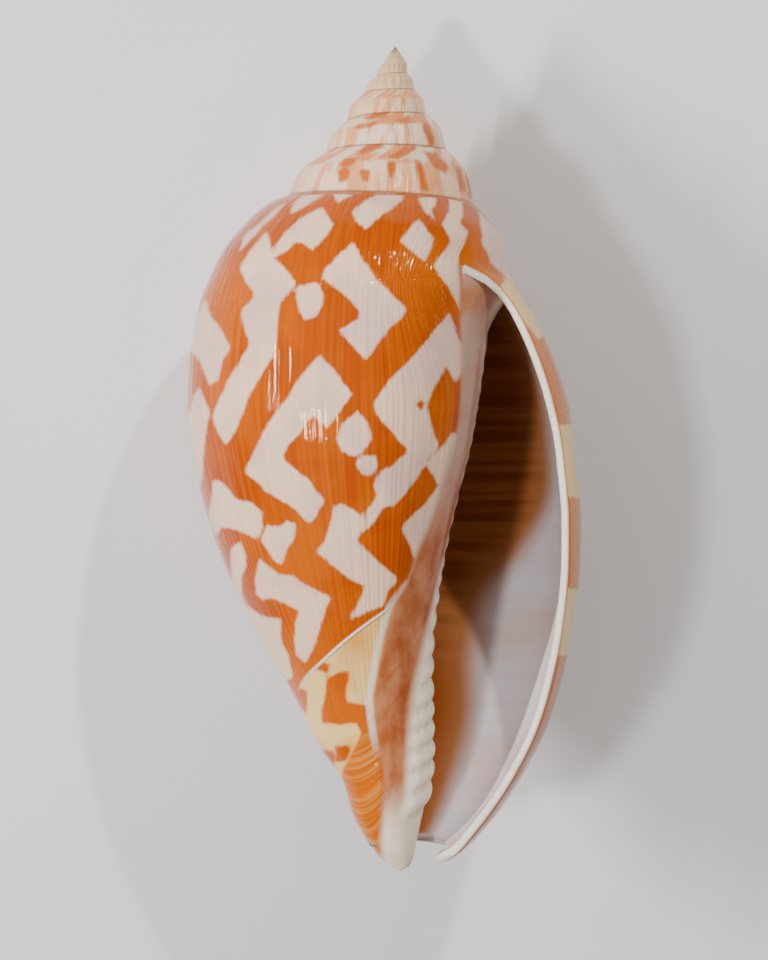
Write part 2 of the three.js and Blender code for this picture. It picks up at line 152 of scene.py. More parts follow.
# Turn and station of the notch and of the row beside it
NOTCH = [(-60, 89.2), (-20, 88.9), (0, 88.2), (33, 87.3), (60, 86.9), (90, 86.8), (130, 87.2),
         (160, 87.3), (270, 87.0), (360, 87.0), (520, 87.3), (640, 87.3)]

# Turn and station of the line that the next whorl would cover
COVER_LINE = [(-60, 41), (0, 38.5), (90, 34), (180, 30.5), (270, 26.5), (308, 24.2)]

# How far the lip's edge is drawn round to the front, by the distance below the suture
LIP_SWEEP = [(0, -35), (1, -24), (2, -17), (4, -12), (7, -10), (13, -8), (20, -5), (80, -4)]

# Station and height of each tooth on the inner lip
TEETH = [(33, 0.2), (35.2, 0.22), (37.5, 0.24), (39.5, 0.26), (41.3, 0.28), (43.1, 0.3),
         (44.9, 0.3), (46.8, 0.32), (49.9, 0.36), (51.6, 0.4), (54.1, 0.45), (56.5, 0.5),
         (58.0, 0.5), (60.0, 0.55), (62.4, 0.6), (65.3, 0.65), (67.7, 0.7), (70.4, 0.75),
         (72.5, 0.75), (74.7, 0.75), (77.0, 0.75), (79.1, 0.7), (81.5, 0.6)]
TOOTH_TURN = 352.0
TOOTH_SPREAD = 30.0
TOOTH_LEAN = 0.03
TOOTH_FADE = (8.0, 34.0)
TOOTH_END_GAPS = (2.2, 2.4)

# Station and turn at which the teeth rise out of the callus
TOOTH_STARTS = [(30, 326), (54, 322), (62, 310), (72, 292), (90, 288)]

# Kinds of vertex; the rows of the rounded rim count on from RIM
OUTER = 0
INNER = 1
APEX = 3
RIM = 10

# Rows of the fine mesh
UPPER_ROWS = 24
RIM_ROWS = 5
BODY_ROWS = 120
TIP_ROWS = 12
INNER_ROWS = 72
INNER_UPPER_ROWS = 14
INNER_CEILING_ROW = 18
SPIRE_ROW_STEP = 2
COARSE_TURN = 430.0
COVER_ROW = UPPER_ROWS
CEILING_ROW = COVER_ROW + RIM_ROWS + 1
NOTCH_ROW = CEILING_ROW + BODY_ROWS
TIP_ROW = NOTCH_ROW + TIP_ROWS

# The view of the photograph: its frame, its scale, where the tip of the spire is seen, and the
# camera's distance and rise in millimetres and degrees
FRAME_WIDTH_PX = 768
FRAME_HEIGHT_PX = 960
PX_PER_MM = 9.167
APEX_PX = (395.4, 45.0)
VIEW_DISTANCE = 480.0
VIEW_RISE = 1.5

# A distance beyond every mark, in millimetres
FAR = 9.0

# How squarely a surface faces the camera where the listed marks begin, and where the rule's end
MARKED_FACING = -0.3
HIDDEN_FACING = 0.15
HIDDEN_TURNS = (14.0, 190.0)

# The rule for the hidden side's marks: blocks on a slanting grid, in radians of the coil
BACK_SEED = 11
BACK_PITCH = 0.34
BACK_JITTER = 0.07
BACK_HALF = (0.16, 0.5)
BACK_LONG_SHARE = 0.3
BACK_LONG_FACTOR = 1.9
BACK_COLUMNS = range(-1, 20)
BACK_ROWS = range(-13, 8)
BACK_TURNS = (2.0, 172.0)

# The grid lies on a flat chart of the body, drawn from one turn's radii
CHART_FROM = 12.0
CHART_STEPS = 400
CHART_TURN = 135.0

# Values for the finish where a place has none of its own: degrees past the lip or the teeth, and
# the depth that gives the canal's rim the colour of the wall behind it
BEYOND = 60.0
CANAL_DEPTH = 62.0


def slopes(x, y):
    """Slopes of a smooth line that never overshoots its points."""
    step = np.diff(x)
    rise = np.diff(y, axis=0) / (step if y.ndim == 1 else step[:, None])
    inner = rise[:-1] * rise[1:]
    total = rise[:-1] + rise[1:]
    middle = np.where(inner > 0, 2 * inner / np.where(total == 0, 1, total), 0.0)
    return np.concatenate([rise[:1], middle, rise[-1:]])


def hermite(x, y, m, v):
    """Value at v of the line through x and y with slopes m; y may hold one column per v."""
    v = np.clip(v, x[0], x[-1])
    i = np.clip(np.searchsorted(x, v, side="right") - 1, 0, len(x) - 2)
    h = x[i + 1] - x[i]
    t = (v - x[i]) / h
    if y.ndim == 1:
        y0, y1, m0, m1 = y[i], y[i + 1], m[i], m[i + 1]
    else:
        at = np.arange(len(v))
        y0, y1, m0, m1 = y[i, at], y[i + 1, at], m[i, at], m[i + 1, at]
    t2, t3 = t * t, t * t * t
    return ((2 * t3 - 3 * t2 + 1) * y0 + (t3 - 2 * t2 + t) * h * m0
            + (3 * t2 - 2 * t3) * y1 + (t3 - t2) * h * m1)


def through(points, column=1):
    """A function that follows points given as x and one or more values."""
    x = np.array([p[0] for p in points], float)
    y = np.array([p[column] for p in points], float)
    m = slopes(x, y)
    return lambda v: hermite(x, y, m, np.asarray(v, float))


def smooth(low, high, v):
    t = np.clip((np.asarray(v, float) - low) / (high - low), 0, 1)
    return t * t * (3 - 2 * t)


def mix(a, b, t):
    return a + (b - a) * t


axis_offset = through(AXIS)
suture_station = through(SUTURE, 1)
suture_radius = through(SUTURE, 2)
notch_station = through(NOTCH)
cover_line = through(COVER_LINE)
lip_sweep = through(LIP_SWEEP)
tooth_start = through(TOOTH_STARTS)
BODY_TURNS = np.array(sorted(BODY), float)
BODY_LINES = [through(BODY[turn]) for turn in sorted(BODY)]
BODY_STARTS = [BODY[turn][0][0] for turn in sorted(BODY)]


def body_radius(turn, station):
    """Radius of the body whorl and of the columella behind it."""
    start = suture_station(turn)
    share = np.maximum(0, (station - start) / (LENGTH - start))
    rows = [line(begin + share * (LENGTH - begin)) for line, begin in zip(BODY_LINES, BODY_STARTS)]
    table = np.array(rows)
    return hermite(BODY_TURNS, table, slopes(BODY_TURNS, table), turn)


def cover_point(turn):
    """Radius and station where a whorl is met by the one after it."""
    free = cover_line(turn)
    met = turn >= COVER_FROM
    station = np.where(met, suture_station(turn - 360), free)
    return np.where(met, suture_radius(turn - 360), body_radius(turn, free)), station


def spire_point(turn, share):
    """A spire whorl's side: a straight ramp and side with a rounded shoulder between them."""
    top_r, top_s = suture_radius(turn), suture_station(turn)
    low_r, low_s = cover_point(turn)
    dr, ds = low_r - top_r, low_s - top_s
    across = (share - SHOULDER_SHARE) / 0.5
    end = math.hypot(1, SHOULDER_ROUND)
    peak = (end - np.hypot(across, SHOULDER_ROUND)) / (end - SHOULDER_ROUND)
    out = SHOULDER_BULGE * np.maximum(0, peak)
    return top_r + share * dr + out * ds, top_s + share * ds - out * dr


def upper_point(turn, share):
    spire_r, spire_s = spire_point(turn, share)
    blend = smooth(*UPPER_FADE, turn)
    station = mix(suture_station(turn), cover_point(turn)[1], share)
    return mix(body_radius(turn, station), spire_r, blend), mix(station, spire_s, blend)


def teeth(turn, station):
    """Height of the teeth along the edge of the inner lip; the lower ones run on as ridges."""
    lean = station + TOOTH_LEAN * (turn - TOOTH_TURN)
    height = np.zeros_like(station)
    for number, (middle, high) in enumerate(TEETH):
        before = TEETH[number - 1][0] if number else middle - TOOTH_END_GAPS[0]
        last = number + 1 == len(TEETH)
        after = middle + TOOTH_END_GAPS[1] if last else TEETH[number + 1][0]
        half = np.where(lean < middle, middle - before, after - middle) / 2
        lobe = np.cos(np.clip((lean - middle) / half, -1, 1) * math.pi / 2)
        height = np.maximum(height, high * np.sqrt(np.maximum(lobe, 0)))
    start = tooth_start(station)
    rise = (turn - start) / TOOTH_SPREAD
    reach = smooth(0, 1, rise) * (1 - smooth(*TOOTH_FADE, turn - TOOTH_TURN))
    return height * reach


def ceiling_drop(turn):
    """How far the ceiling of the hollow lies below the suture, less where the lip begins."""
    return mix(LIP_DROP, CEILING_DROP, smooth(*DROP_GROWTH, turn))


def row_point(turn, level):
    """Radius and station at a level: 0 suture, 1 cover line, 2 ceiling, 3 notch, 4 tip."""
    upper_r, upper_s = upper_point(turn, np.minimum(level, COVER_LEVEL))
    cover = cover_point(turn)[1]
    ceiling = cover + ceiling_drop(turn)
    notch = notch_station(turn)
    station = mix(cover, ceiling, level - COVER_LEVEL)
    body = mix(ceiling, notch, level - CEILING_LEVEL)
    station = np.where(level > CEILING_LEVEL, body, station)
    tip = mix(notch, LENGTH, level - NOTCH_LEVEL)
    station = np.where(level > NOTCH_LEVEL, tip, station)
    station = np.where(level <= COVER_LEVEL, upper_s, station)
    radius = np.where(level <= COVER_LEVEL, upper_r, body_radius(turn, station))
    detail = teeth(turn, station)
    return radius + np.where(level > COVER_LEVEL, detail, 0), station


def swept(nominal, level):
    """Draws the columns near the lip round to the front, so that its edge curls up."""
    station = row_point(nominal, level)[1]
    outer = lip_sweep(station - suture_station(nominal))
    outer = outer * (1 - smooth(LIP_TURN, LIP_TURN + SWEEP_FADE, nominal))
    side = 1 - smooth(0, SWEEP_FADE, np.abs(nominal - MEETING_TURN))
    below = station - cover_point(nominal)[1] - ceiling_drop(nominal)
    above = smooth(0, COVER_LEVEL, level)
    height = np.where(level <= COVER_LEVEL, above, 1 - smooth(0, SWEEP_REACH, below))
    inner = lip_sweep(0) * side * height
    return nominal + np.where(nominal < MEETING_TURN - SWEEP_FADE, outer, inner)


def place(turn, radius, station):
    """From turn, radius and station to the shell's own frame."""
    lean = axis_offset(station + 0.5) - axis_offset(station - 0.5)
    lean = lean * (1 - smooth(*LEAN_FADE, station))
    long = np.hypot(1, lean)
    across = radius * np.cos(np.radians(turn))
    return np.stack([axis_offset(station) + across / long,
                     radius * np.sin(np.radians(turn)),
                     -station + across * lean / long], axis=-1)


def outer_place(nominal, level):
    turn = swept(nominal, level)
    radius, station = row_point(turn, level)
    return place(turn, radius, station), turn, station


def inner_place(nominal, level):
    """The inner face of the body whorl, a wall's thickness in from the outer one."""
    turn = swept(nominal, level)
    radius, station = row_point(turn, level)
    before = row_point(turn, np.maximum(level - LEVEL_STEP, 0))
    after = row_point(turn, np.minimum(level + LEVEL_STEP, NOTCH_LEVEL))
    dr, ds = after[0] - before[0], after[1] - before[1]
    long = np.hypot(dr, ds)
    wall = mix(LIP_THICKNESS, WALL_THICKNESS, smooth(LIP_TURN, LIP_TURN + WALL_FADE, nominal))
    closing = smooth(CLOSING_TURN, CANAL_END, nominal)
    closing = closing * smooth(CLOSING_LEVEL, NOTCH_LEVEL, level)
    wall = wall * (1 - closing)
    drop = ceiling_drop(turn + 360)
    top_r = body_radius(turn + 360, suture_station(turn) + drop) - suture_radius(turn)
    near = 1 - smooth(0, CEILING_REACH, station - suture_station(turn))
    shift_r = mix(-wall * ds / long, top_r, near)
    shift_s = mix(wall * dr / long, drop, near)
    return place(turn, radius + shift_r, station + shift_s), turn, station


def laid_down(points):
    """Turns points of the shell's own frame so that it lies on its back, apex along +Y."""
    pitch = math.radians(REST_PITCH)
    y, z = points[:, 2], -points[:, 1]
    return np.stack([points[:, 0], y * math.cos(pitch) - z * math.sin(pitch),
                     y * math.sin(pitch) + z * math.cos(pitch)], axis=-1)


class ShellSurface:
    """The whole shell as one welded surface that follows the coil."""

    def __init__(self, columns):
        self.columns = columns
        self.step = 360.0 / columns
        self.tip_column = round((CANAL_END - LIP_TURN) / self.step)
        self.end_column = round((CAVITY_END - LIP_TURN) / self.step)
        self.coarse_column = round((COARSE_TURN - LIP_TURN) / self.step)
        self.apex_column = round((APEX_TURN - LIP_TURN) / self.step)
        self.numbers = {}
        self.nominal = []
        self.level = []
        self.kind = []
        self.faces = []
        self.corner_turns = []
        self.corner_levels = []

    def turn_of(self, column):
        return LIP_TURN + column * self.step

    def level_of(self, row):
        if row <= COVER_ROW:
            return row / COVER_ROW
        if row <= CEILING_ROW:
            return COVER_LEVEL + (row - COVER_ROW) / (CEILING_ROW - COVER_ROW)
        if row <= NOTCH_ROW:
            return CEILING_LEVEL + (row - CEILING_ROW) / BODY_ROWS
        return NOTCH_LEVEL + (row - NOTCH_ROW) / TIP_ROWS

    def inner_level(self, row):
        """The inner face has fewer rows than the outer one."""
        if row <= INNER_UPPER_ROWS:
            return row / INNER_UPPER_ROWS
        if row <= INNER_CEILING_ROW:
            share = (row - INNER_UPPER_ROWS) / (INNER_CEILING_ROW - INNER_UPPER_ROWS)
            return COVER_LEVEL + share
        return CEILING_LEVEL + (row - INNER_CEILING_ROW) / (INNER_ROWS - INNER_CEILING_ROW)

    def vertex(self, kind, column, row, level):
        key = (kind, column, row)
        if key not in self.numbers:
            self.numbers[key] = len(self.kind)
            self.kind.append(kind)
            self.nominal.append(self.turn_of(column))
            self.level.append(level)
        return self.numbers[key]

    def outer(self, column, row):
        """A suture's points belong to the whorl above it."""
        if row == 0:
            above = column + self.columns
            return self.apex() if above > self.apex_column else self.outer(above, COVER_ROW)
        if row == TIP_ROW:
            return self.vertex(OUTER, 0, TIP_ROW, TIP_LEVEL)
        joined = self.tip_column + self.columns
        if row > NOTCH_ROW and column >= joined:
            column -= self.columns
        if row == NOTCH_ROW and column == joined:
            column -= self.columns
        return self.vertex(OUTER, column, row, self.level_of(row))

    def apex(self):
        return self.vertex(APEX, 0, 0, 0.0)

    def inner(self, column, row):
        """It shares its upper edge and the closed part of its lower edge with the core."""
        if row == 0:
            return self.outer(column + self.columns, CEILING_ROW)
        if row == INNER_ROWS and column >= self.tip_column:
            return self.outer(column + self.columns, NOTCH_ROW)
        return self.vertex(INNER, column, row, self.inner_level(row))

    def rim(self, column, row, place_in_rim):
        """The rounded rim: place_in_rim runs from the outer face, 0, to the inner one."""
        if row == 0:
            return self.outer(column + self.columns, COVER_ROW + place_in_rim)
        if row == INNER_ROWS and column == self.tip_column:
            return self.outer(column, NOTCH_ROW)
        return self.vertex(RIM + place_in_rim, column, row, self.inner_level(row))

    def face(self, corners):
        """corners are (vertex, turn, level); a face with two alike is a triangle or nothing."""
        kept = []
        for corner in corners:
            if all(corner[0] != other[0] for other in kept):
                kept.append(corner)
        if len(kept) < 3:
            return
        kept.reverse()
        self.faces.append([corner[0] for corner in kept])
        self.corner_turns.extend(corner[1] for corner in kept)
        self.corner_levels.extend(corner[2] for corner in kept)

    def outer_corner(self, column, row):
        return self.outer(column, row), self.turn_of(column), self.level_of(row)

    def inner_corner(self, column, row):
        return self.inner(column, row), self.turn_of(column), self.inner_level(row)

    def rim_corner(self, column, row, place_in_rim):
        return self.rim(column, row, place_in_rim), self.turn_of(column), self.inner_level(row)

    def outer_quad(self, column, row, rows=1):
        self.face([self.outer_corner(column, row), self.outer_corner(column + 1, row),
                   self.outer_corner(column + 1, row + rows), self.outer_corner(column, row + rows)])

    def ladder(self, left, right, shares_left, shares_right):
        """Joins two rows of corners that need not have the same number."""
        i = j = 0
        while i < len(left) - 1 or j < len(right) - 1:
            forward_left = j == len(right) - 1
            if i < len(left) - 1 and not forward_left:
                forward_left = shares_left[i + 1] <= shares_right[j + 1]
            if forward_left:
                self.face([left[i], left[i + 1], right[j]])
                i += 1
            else:
                self.face([left[i], right[j + 1], right[j]])
                j += 1

    def build(self):
        for column in range(self.apex_column):
            free = column < self.tip_column
            rows = COVER_ROW
            if column < self.columns:
                rows = NOTCH_ROW if free else TIP_ROW
            if column < self.coarse_column:
                for row in range(rows):
                    self.outer_quad(column, row)
            elif column == self.coarse_column:
                self.row_change(column)
            else:
                for row in range(0, COVER_ROW, SPIRE_ROW_STEP):
                    self.outer_quad(column, row, SPIRE_ROW_STEP)
            if self.columns <= column < self.end_column + self.columns:
                last = TIP_ROW if column < self.tip_column + self.columns else NOTCH_ROW
                for row in range(CEILING_ROW, last):
                    self.outer_quad(column, row)
            if column < self.end_column:
                for row in range(INNER_ROWS):
                    self.face([self.inner_corner(column, row), self.inner_corner(column, row + 1),
                               self.inner_corner(column + 1, row + 1),
                               self.inner_corner(column + 1, row)])
            if free:
                self.canal_rim(column)
        self.lip_rim()
        self.cavity_end()
        for row in range(0, COVER_ROW, SPIRE_ROW_STEP):
            self.face([(self.apex(), APEX_TURN, 0.0),
                       self.outer_corner(self.apex_column, row + SPIRE_ROW_STEP),
                       self.outer_corner(self.apex_column, row)])

    def row_change(self, column):
        """The spire's rows are wider apart than those of the body whorl."""
        fine = [self.outer_corner(column, row) for row in range(COVER_ROW + 1)]
        wide = [self.outer_corner(column + 1, row) for row in range(0, COVER_ROW + 1, SPIRE_ROW_STEP)]
        self.ladder(wide, fine, np.linspace(0, 1, len(wide)), np.linspace(0, 1, len(fine)))

    def canal_rim(self, column):
        def strip(at):
            line = [self.outer_corner(at, NOTCH_ROW)]
            line += [self.rim_corner(at, INNER_ROWS, k) for k in range(1, RIM_ROWS + 1)]
            return line + [self.inner_corner(at, INNER_ROWS)]
        here, after = strip(column), strip(column + 1)
        for k in range(RIM_ROWS + 1):
            self.face([here[k], after[k], after[k + 1], here[k + 1]])

    def lip_rim(self):
        outer = [self.outer_corner(0, row) for row in range(NOTCH_ROW + 1)]
        outer_shares = [self.level_of(row) for row in range(NOTCH_ROW + 1)]
        first = [self.rim_corner(0, row, 1) for row in range(INNER_ROWS + 1)]
        shares = [self.inner_level(row) for row in range(INNER_ROWS + 1)]
        self.ladder(outer, first, outer_shares, shares)
        for k in range(1, RIM_ROWS):
            for row in range(INNER_ROWS):
                self.face([self.rim_corner(0, row, k), self.rim_corner(0, row + 1, k),
                           self.rim_corner(0, row + 1, k + 1), self.rim_corner(0, row, k + 1)])
        for row in range(INNER_ROWS):
            self.face([self.rim_corner(0, row, RIM_ROWS), self.rim_corner(0, row + 1, RIM_ROWS),
                       self.inner_corner(0, row + 1), self.inner_corner(0, row)])

    def cavity_end(self):
        column = self.end_column
        wall = [self.inner_corner(column, row) for row in range(INNER_ROWS + 1)]
        core = [self.outer_corner(column + self.columns, row)
                for row in range(CEILING_ROW, NOTCH_ROW + 1)]
        wall_shares = np.linspace(0, 1, len(wall))
        core_shares = np.linspace(0, 1, len(core))
        self.ladder(wall, core, wall_shares, core_shares)

    def solve(self):
        """Finds every vertex's place, turn and station."""
        kind = np.array(self.kind)
        nominal = np.array(self.nominal)
        level = np.array(self.level)
        points = np.zeros((len(kind), 3))
        turn = np.zeros(len(kind))
        station = np.zeros(len(kind))
        for value, rule in ((OUTER, outer_place), (INNER, inner_place)):
            chosen = kind == value
            places, turns, stations = rule(nominal[chosen], level[chosen])
            points[chosen], turn[chosen], station[chosen] = places, turns, stations
        apex = kind == APEX
        points[apex] = place(np.zeros(1), np.zeros(1), np.zeros(1))
        turn[apex] = APEX_TURN
        on_rim = np.flatnonzero(kind > RIM)
        rim_nominal, rim_level = nominal[on_rim], level[on_rim]
        a, turn[on_rim], station[on_rim] = outer_place(rim_nominal, rim_level)
        b = inner_place(rim_nominal, rim_level)[0]
        on_canal = rim_level >= NOTCH_LEVEL
        inward_nominal = np.where(on_canal, rim_nominal, rim_nominal + RIM_REACH)
        inward_level = np.where(on_canal, rim_level - RIM_LEVEL_REACH, rim_level)
        inward = outer_place(inward_nominal, inward_level)[0]
        out = a - inward
        out /= np.maximum(np.linalg.norm(out, axis=1), 1e-9)[:, None]
        half = np.linalg.norm(a - b, axis=1)[:, None] / 2
        angle = (kind[on_rim] - RIM) / (RIM_ROWS + 1) * math.pi
        middle = (a + b) / 2
        points[on_rim] = (middle + (a - b) / 2 * np.cos(angle)[:, None]
                          + out * half * RIM_ROUND * np.sin(angle)[:, None])
        return points, kind, turn, station, nominal, level


# Markings of the front, as outlines whose corners are pixels of the photograph's frame
WHITE_MARKS = {
    "slim bar by the left shoulder": [(240, 250), (245, 236), (262, 221), (279, 206), (286, 203),
                                      (268, 221), (250, 239)],
    "short bar under the suture": [(290, 214), (294, 204), (310, 191), (324, 188), (330, 190),
                                   (315, 199), (302, 208)],
    "wedge under the suture": [(332, 191), (340, 187), (359, 187), (352, 194), (338, 202)],
    "wide bar under the suture": [(352, 211), (365, 202), (387, 190), (404, 190), (401, 201),
                                  (381, 215), (366, 228), (356, 221)],
    "block left of the shoulder": [(322, 208), (333, 226), (327, 234), (312, 250), (305, 243),
                                   (297, 240), (285, 250), (272, 257), (276, 246), (286, 232),
                                   (300, 219)],
    "left block and long bar": [(267, 231), (272, 258), (280, 264), (295, 283), (290, 291),
                                (280, 301), (277, 320), (276, 340), (272, 357), (250, 393),
                                (236, 428), (226, 444), (218, 432), (213, 417), (227, 384),
                                (243, 357), (249, 344), (243, 322), (241, 312), (256, 295),
                                (245, 279), (241, 267), (252, 250)],
    "small block beside the left bar": [(296, 287), (316, 283), (322, 292), (322, 304), (316, 316),
                                        (306, 319), (300, 312)],
    "great diamond": [(352, 243), (359, 255), (377, 280), (406, 309), (400, 320), (390, 327),
                      (371, 352), (365, 358), (340, 331), (360, 319), (361, 310), (342, 292),
                      (323, 278), (325, 270)],
    "middle diamond and falling bar": [(320, 355), (340, 379), (351, 394), (338, 413), (327, 427),
                                       (312, 414), (300, 432), (288, 445), (281, 457), (300, 475),
                                       (310, 482), (323, 502), (316, 516), (309, 522), (292, 505),
                                       (266, 491), (262, 484), (245, 472), (251, 460), (260, 440),
                                       (271, 420), (290, 395), (300, 377)],
    "small diamond": [(357, 412), (367, 422), (372, 437), (366, 447), (355, 456), (342, 450),
                      (337, 440), (342, 425)],
    "little spot": [(360, 456), (375, 456), (377, 465), (371, 475), (364, 475), (357, 465)],
    "right bar and block": [(449, 314), (460, 345), (463, 360), (461, 372), (456, 381), (450, 371),
                            (445, 366), (432, 392), (426, 405), (432, 432), (438, 445), (427, 460),
                            (417, 477), (402, 496), (393, 505), (382, 508), (374, 521), (364, 530),
                            (366, 512), (378, 497), (374, 485), (380, 472), (394, 466), (409, 450),
                            (398, 438), (384, 422), (377, 413), (374, 403), (390, 380), (410, 361),
                            (433, 334)],
    "zigzag": [(335, 507), (341, 504), (361, 516), (364, 525), (356, 542), (372, 557), (397, 579),
               (387, 592), (382, 605), (350, 619), (362, 597), (366, 586), (350, 579), (330, 562),
               (317, 551), (325, 542), (330, 527)],
    "strip by the callus": [(425, 463), (441, 450), (452, 433), (466, 436), (455, 500), (440, 560),
                            (425, 584), (400, 604), (388, 610), (398, 595), (412, 572), (415, 560),
                            (411, 545), (403, 531), (405, 523), (425, 505), (440, 485)],
    "left edge block": [(206, 300), (207, 310), (220, 330), (230, 347), (221, 365), (217, 380),
                        (210, 384), (200, 360), (190, 350), (190, 335), (197, 315)],
    "left edge strip": [(195, 397), (199, 388), (209, 412), (204, 442), (202, 460), (202, 480),
                        (198, 486), (190, 455), (186, 420)],
    "left lower rhomb and bar": [(214, 480), (221, 483), (238, 500), (252, 504), (262, 512),
                                 (262, 530), (256, 538), (238, 529), (221, 527), (216, 535),
                                 (210, 522), (211, 505)],
    "left lower spot": [(240, 542), (245, 555), (246, 565), (241, 575), (241, 595), (247, 607),
                        (262, 617), (280, 620), (281, 642), (262, 646), (247, 617), (233, 590),
                        (231, 560), (231, 550)],
    "low diamond": [(266, 526), (280, 527), (287, 522), (294, 525), (294, 537), (287, 547),
                    (281, 564), (275, 560), (262, 540)],
    "low block and bar": [(260, 560), (279, 575), (292, 576), (305, 586), (330, 597), (322, 617),
                          (314, 645), (305, 662), (296, 655), (295, 625), (300, 610), (270, 597),
                          (262, 600), (256, 594), (256, 580)],
    "outline strip's foot": [(262, 646), (281, 642), (288, 655), (292, 676), (284, 682)],
    "diamond right of the suture": [(419, 220), (433, 238), (432, 246), (424, 260), (417, 255),
                                    (400, 240)],
    "small wedge at the suture": [(420, 199), (435, 195), (436, 202), (431, 210), (434, 219),
                                  (426, 212)],
    "right shoulder bar": [(450, 199), (462, 202), (462, 213), (459, 222), (467, 233), (464, 243),
                           (458, 255), (460, 310), (452, 292), (438, 272), (434, 265), (446, 250),
                           (452, 240), (442, 224), (450, 210)],
    "lip shoulder": [(480, 213), (504, 236), (511, 258), (513, 282), (505, 275), (492, 262),
                     (484, 245)],
    "lip, upper": [(508, 276), (524, 288), (550, 332), (538, 338), (522, 318), (500, 290)],
    "lip, middle": [(538, 425), (600, 425), (602, 497), (542, 497)],
    "lip, lower": [(540, 590), (602, 590), (592, 655), (528, 655)],
}

# Orange marks on the pale ground of the marks, the base and the spire, drawn the same way
ORANGE_MARKS = {
    "dot": [(421, 401), (425, 405), (421, 409), (417, 405)],
    "patch in the left bar": [(240, 330), (248, 338), (247, 350), (240, 354)],
    "hook on the base": [(326, 680), (340, 672), (350, 671), (346, 687), (346, 702), (370, 706),
                         (376, 722), (360, 722), (340, 724), (322, 722), (322, 710), (326, 692)],
    "spot on the ridge": [(314, 661), (331, 665), (327, 673), (315, 669)],
    "outline patch, upper": [(290, 685), (307, 692), (306, 712), (298, 706)],
    "outline patch, lower": [(322, 750), (335, 752), (334, 766), (327, 760)],
    "patch above the fasciole": [(336, 747), (352, 745), (347, 760), (336, 762)],
    "link to the fasciole": [(356, 722), (376, 722), (380, 760), (366, 760), (364, 738)],
    "long flame under the suture": [(356, 152), (366, 146), (380, 144), (384, 147), (374, 151),
                                    (362, 154)],
    "low flame": [(340, 163), (344, 159), (356, 158), (352, 165), (344, 168)],
    "middle flame": [(388, 158), (398, 151), (414, 145), (416, 149), (406, 156), (396, 159)],
    "right flame": [(424, 152), (436, 154), (448, 164), (446, 174), (436, 168)],
    "stripe 342": [(337, 168), (350, 168), (349, 180), (340, 182)],
    "stripe 366": [(360, 170), (370, 170), (369, 181), (362, 182)],
    "stripe 390": [(387, 162), (396, 162), (393, 178), (388, 176)],
    "stripe 422": [(415, 160), (420, 161), (429, 190), (422, 191)],
    "stripe 460": [(454, 166), (460, 166), (466, 190), (461, 191)],
    "stripe 470": [(466, 172), (470, 176), (474, 200), (469, 198)],
    "upper flame": [(364, 118), (374, 113), (389, 112), (386, 117), (372, 119)],
    "upper flame's foot": [(354, 128), (360, 124), (376, 122), (372, 126), (360, 129)],
    "upper right flame": [(396, 121), (404, 117), (412, 114), (410, 120), (402, 123)],
    "stripe 432": [(422, 122), (428, 124), (436, 146), (430, 146)],
}

# Heights of the fine relief in the finish, in millimetres, and the glaze's index of refraction
RIB_RELIEF = 0.09
SCRATCH_RELIEF = 0.012
SWELL_RELIEF = 0.3
RIDGE_RELIEF = 0.12
FASCIOLE_RELIEF = 0.2
CALLUS_RELIEF = 0.06
FOLD_RELIEF = 0.1
BEAD_RELIEF = 0.06
GLAZE_IOR = 1.3

# Borders that follow the coil, as turn and station or station and turn
GROWTH_RIDGE = [(60, 90.0), (95, 86.0), (130, 79.5), (180, 71.6), (229, 67.1), (249, 64.7),
                (266, 62.6), (284, 60.5), (305, 57.5), (360, 50)]
FASCIOLE_EDGE = [(95, 93), (130, 87.2), (180, 80.7), (225, 77.5), (241, 75.8), (258, 73.0),
                 (277, 71.0), (300, 68.5)]
CALLUS_EDGE = [(20, 302), (24.8, 302), (31, 305), (40.9, 308), (47.7, 302), (51.8, 298),
               (55.5, 290), (59, 284), (61, 277), (63.8, 272), (68.4, 265), (72, 260), (75.5, 262),
               (78.2, 266), (81, 267), (83.9, 262), (85.4, 255), (88.3, 225), (90, 200)]

growth_ridge = through(GROWTH_RIDGE)
fasciole_edge = through(FASCIOLE_EDGE)
callus_edge = through(CALLUS_EDGE)


def view_axes():
    """Camera place and axes in the part's frame, in millimetres before the shell is set down."""
    rise = math.radians(VIEW_RISE)
    aim = np.array([[(FRAME_WIDTH_PX / 2 - APEX_PX[0]) / PX_PER_MM, 0,
                     -(FRAME_HEIGHT_PX / 2 - APEX_PX[1]) / PX_PER_MM]])
    back = np.array([[0, -math.cos(rise), -math.sin(rise)]])
    up = np.array([[0, -math.sin(rise), math.cos(rise)]])
    right = np.array([[1.0, 0, 0]])
    return [laid_down(v)[0] for v in (aim, back, up, right)]


def seen_at(points):
    """Pixel of the photograph's frame at which each laid-down point is seen."""
    aim, back, up, right = view_axes()
    offset = points - (aim + back * VIEW_DISTANCE)
    depth = -(offset @ back)
    scale = PX_PER_MM * VIEW_DISTANCE / depth
    return np.stack([FRAME_WIDTH_PX / 2 + (offset @ right) * scale,
                     FRAME_HEIGHT_PX / 2 - (offset @ up) * scale], axis=-1)


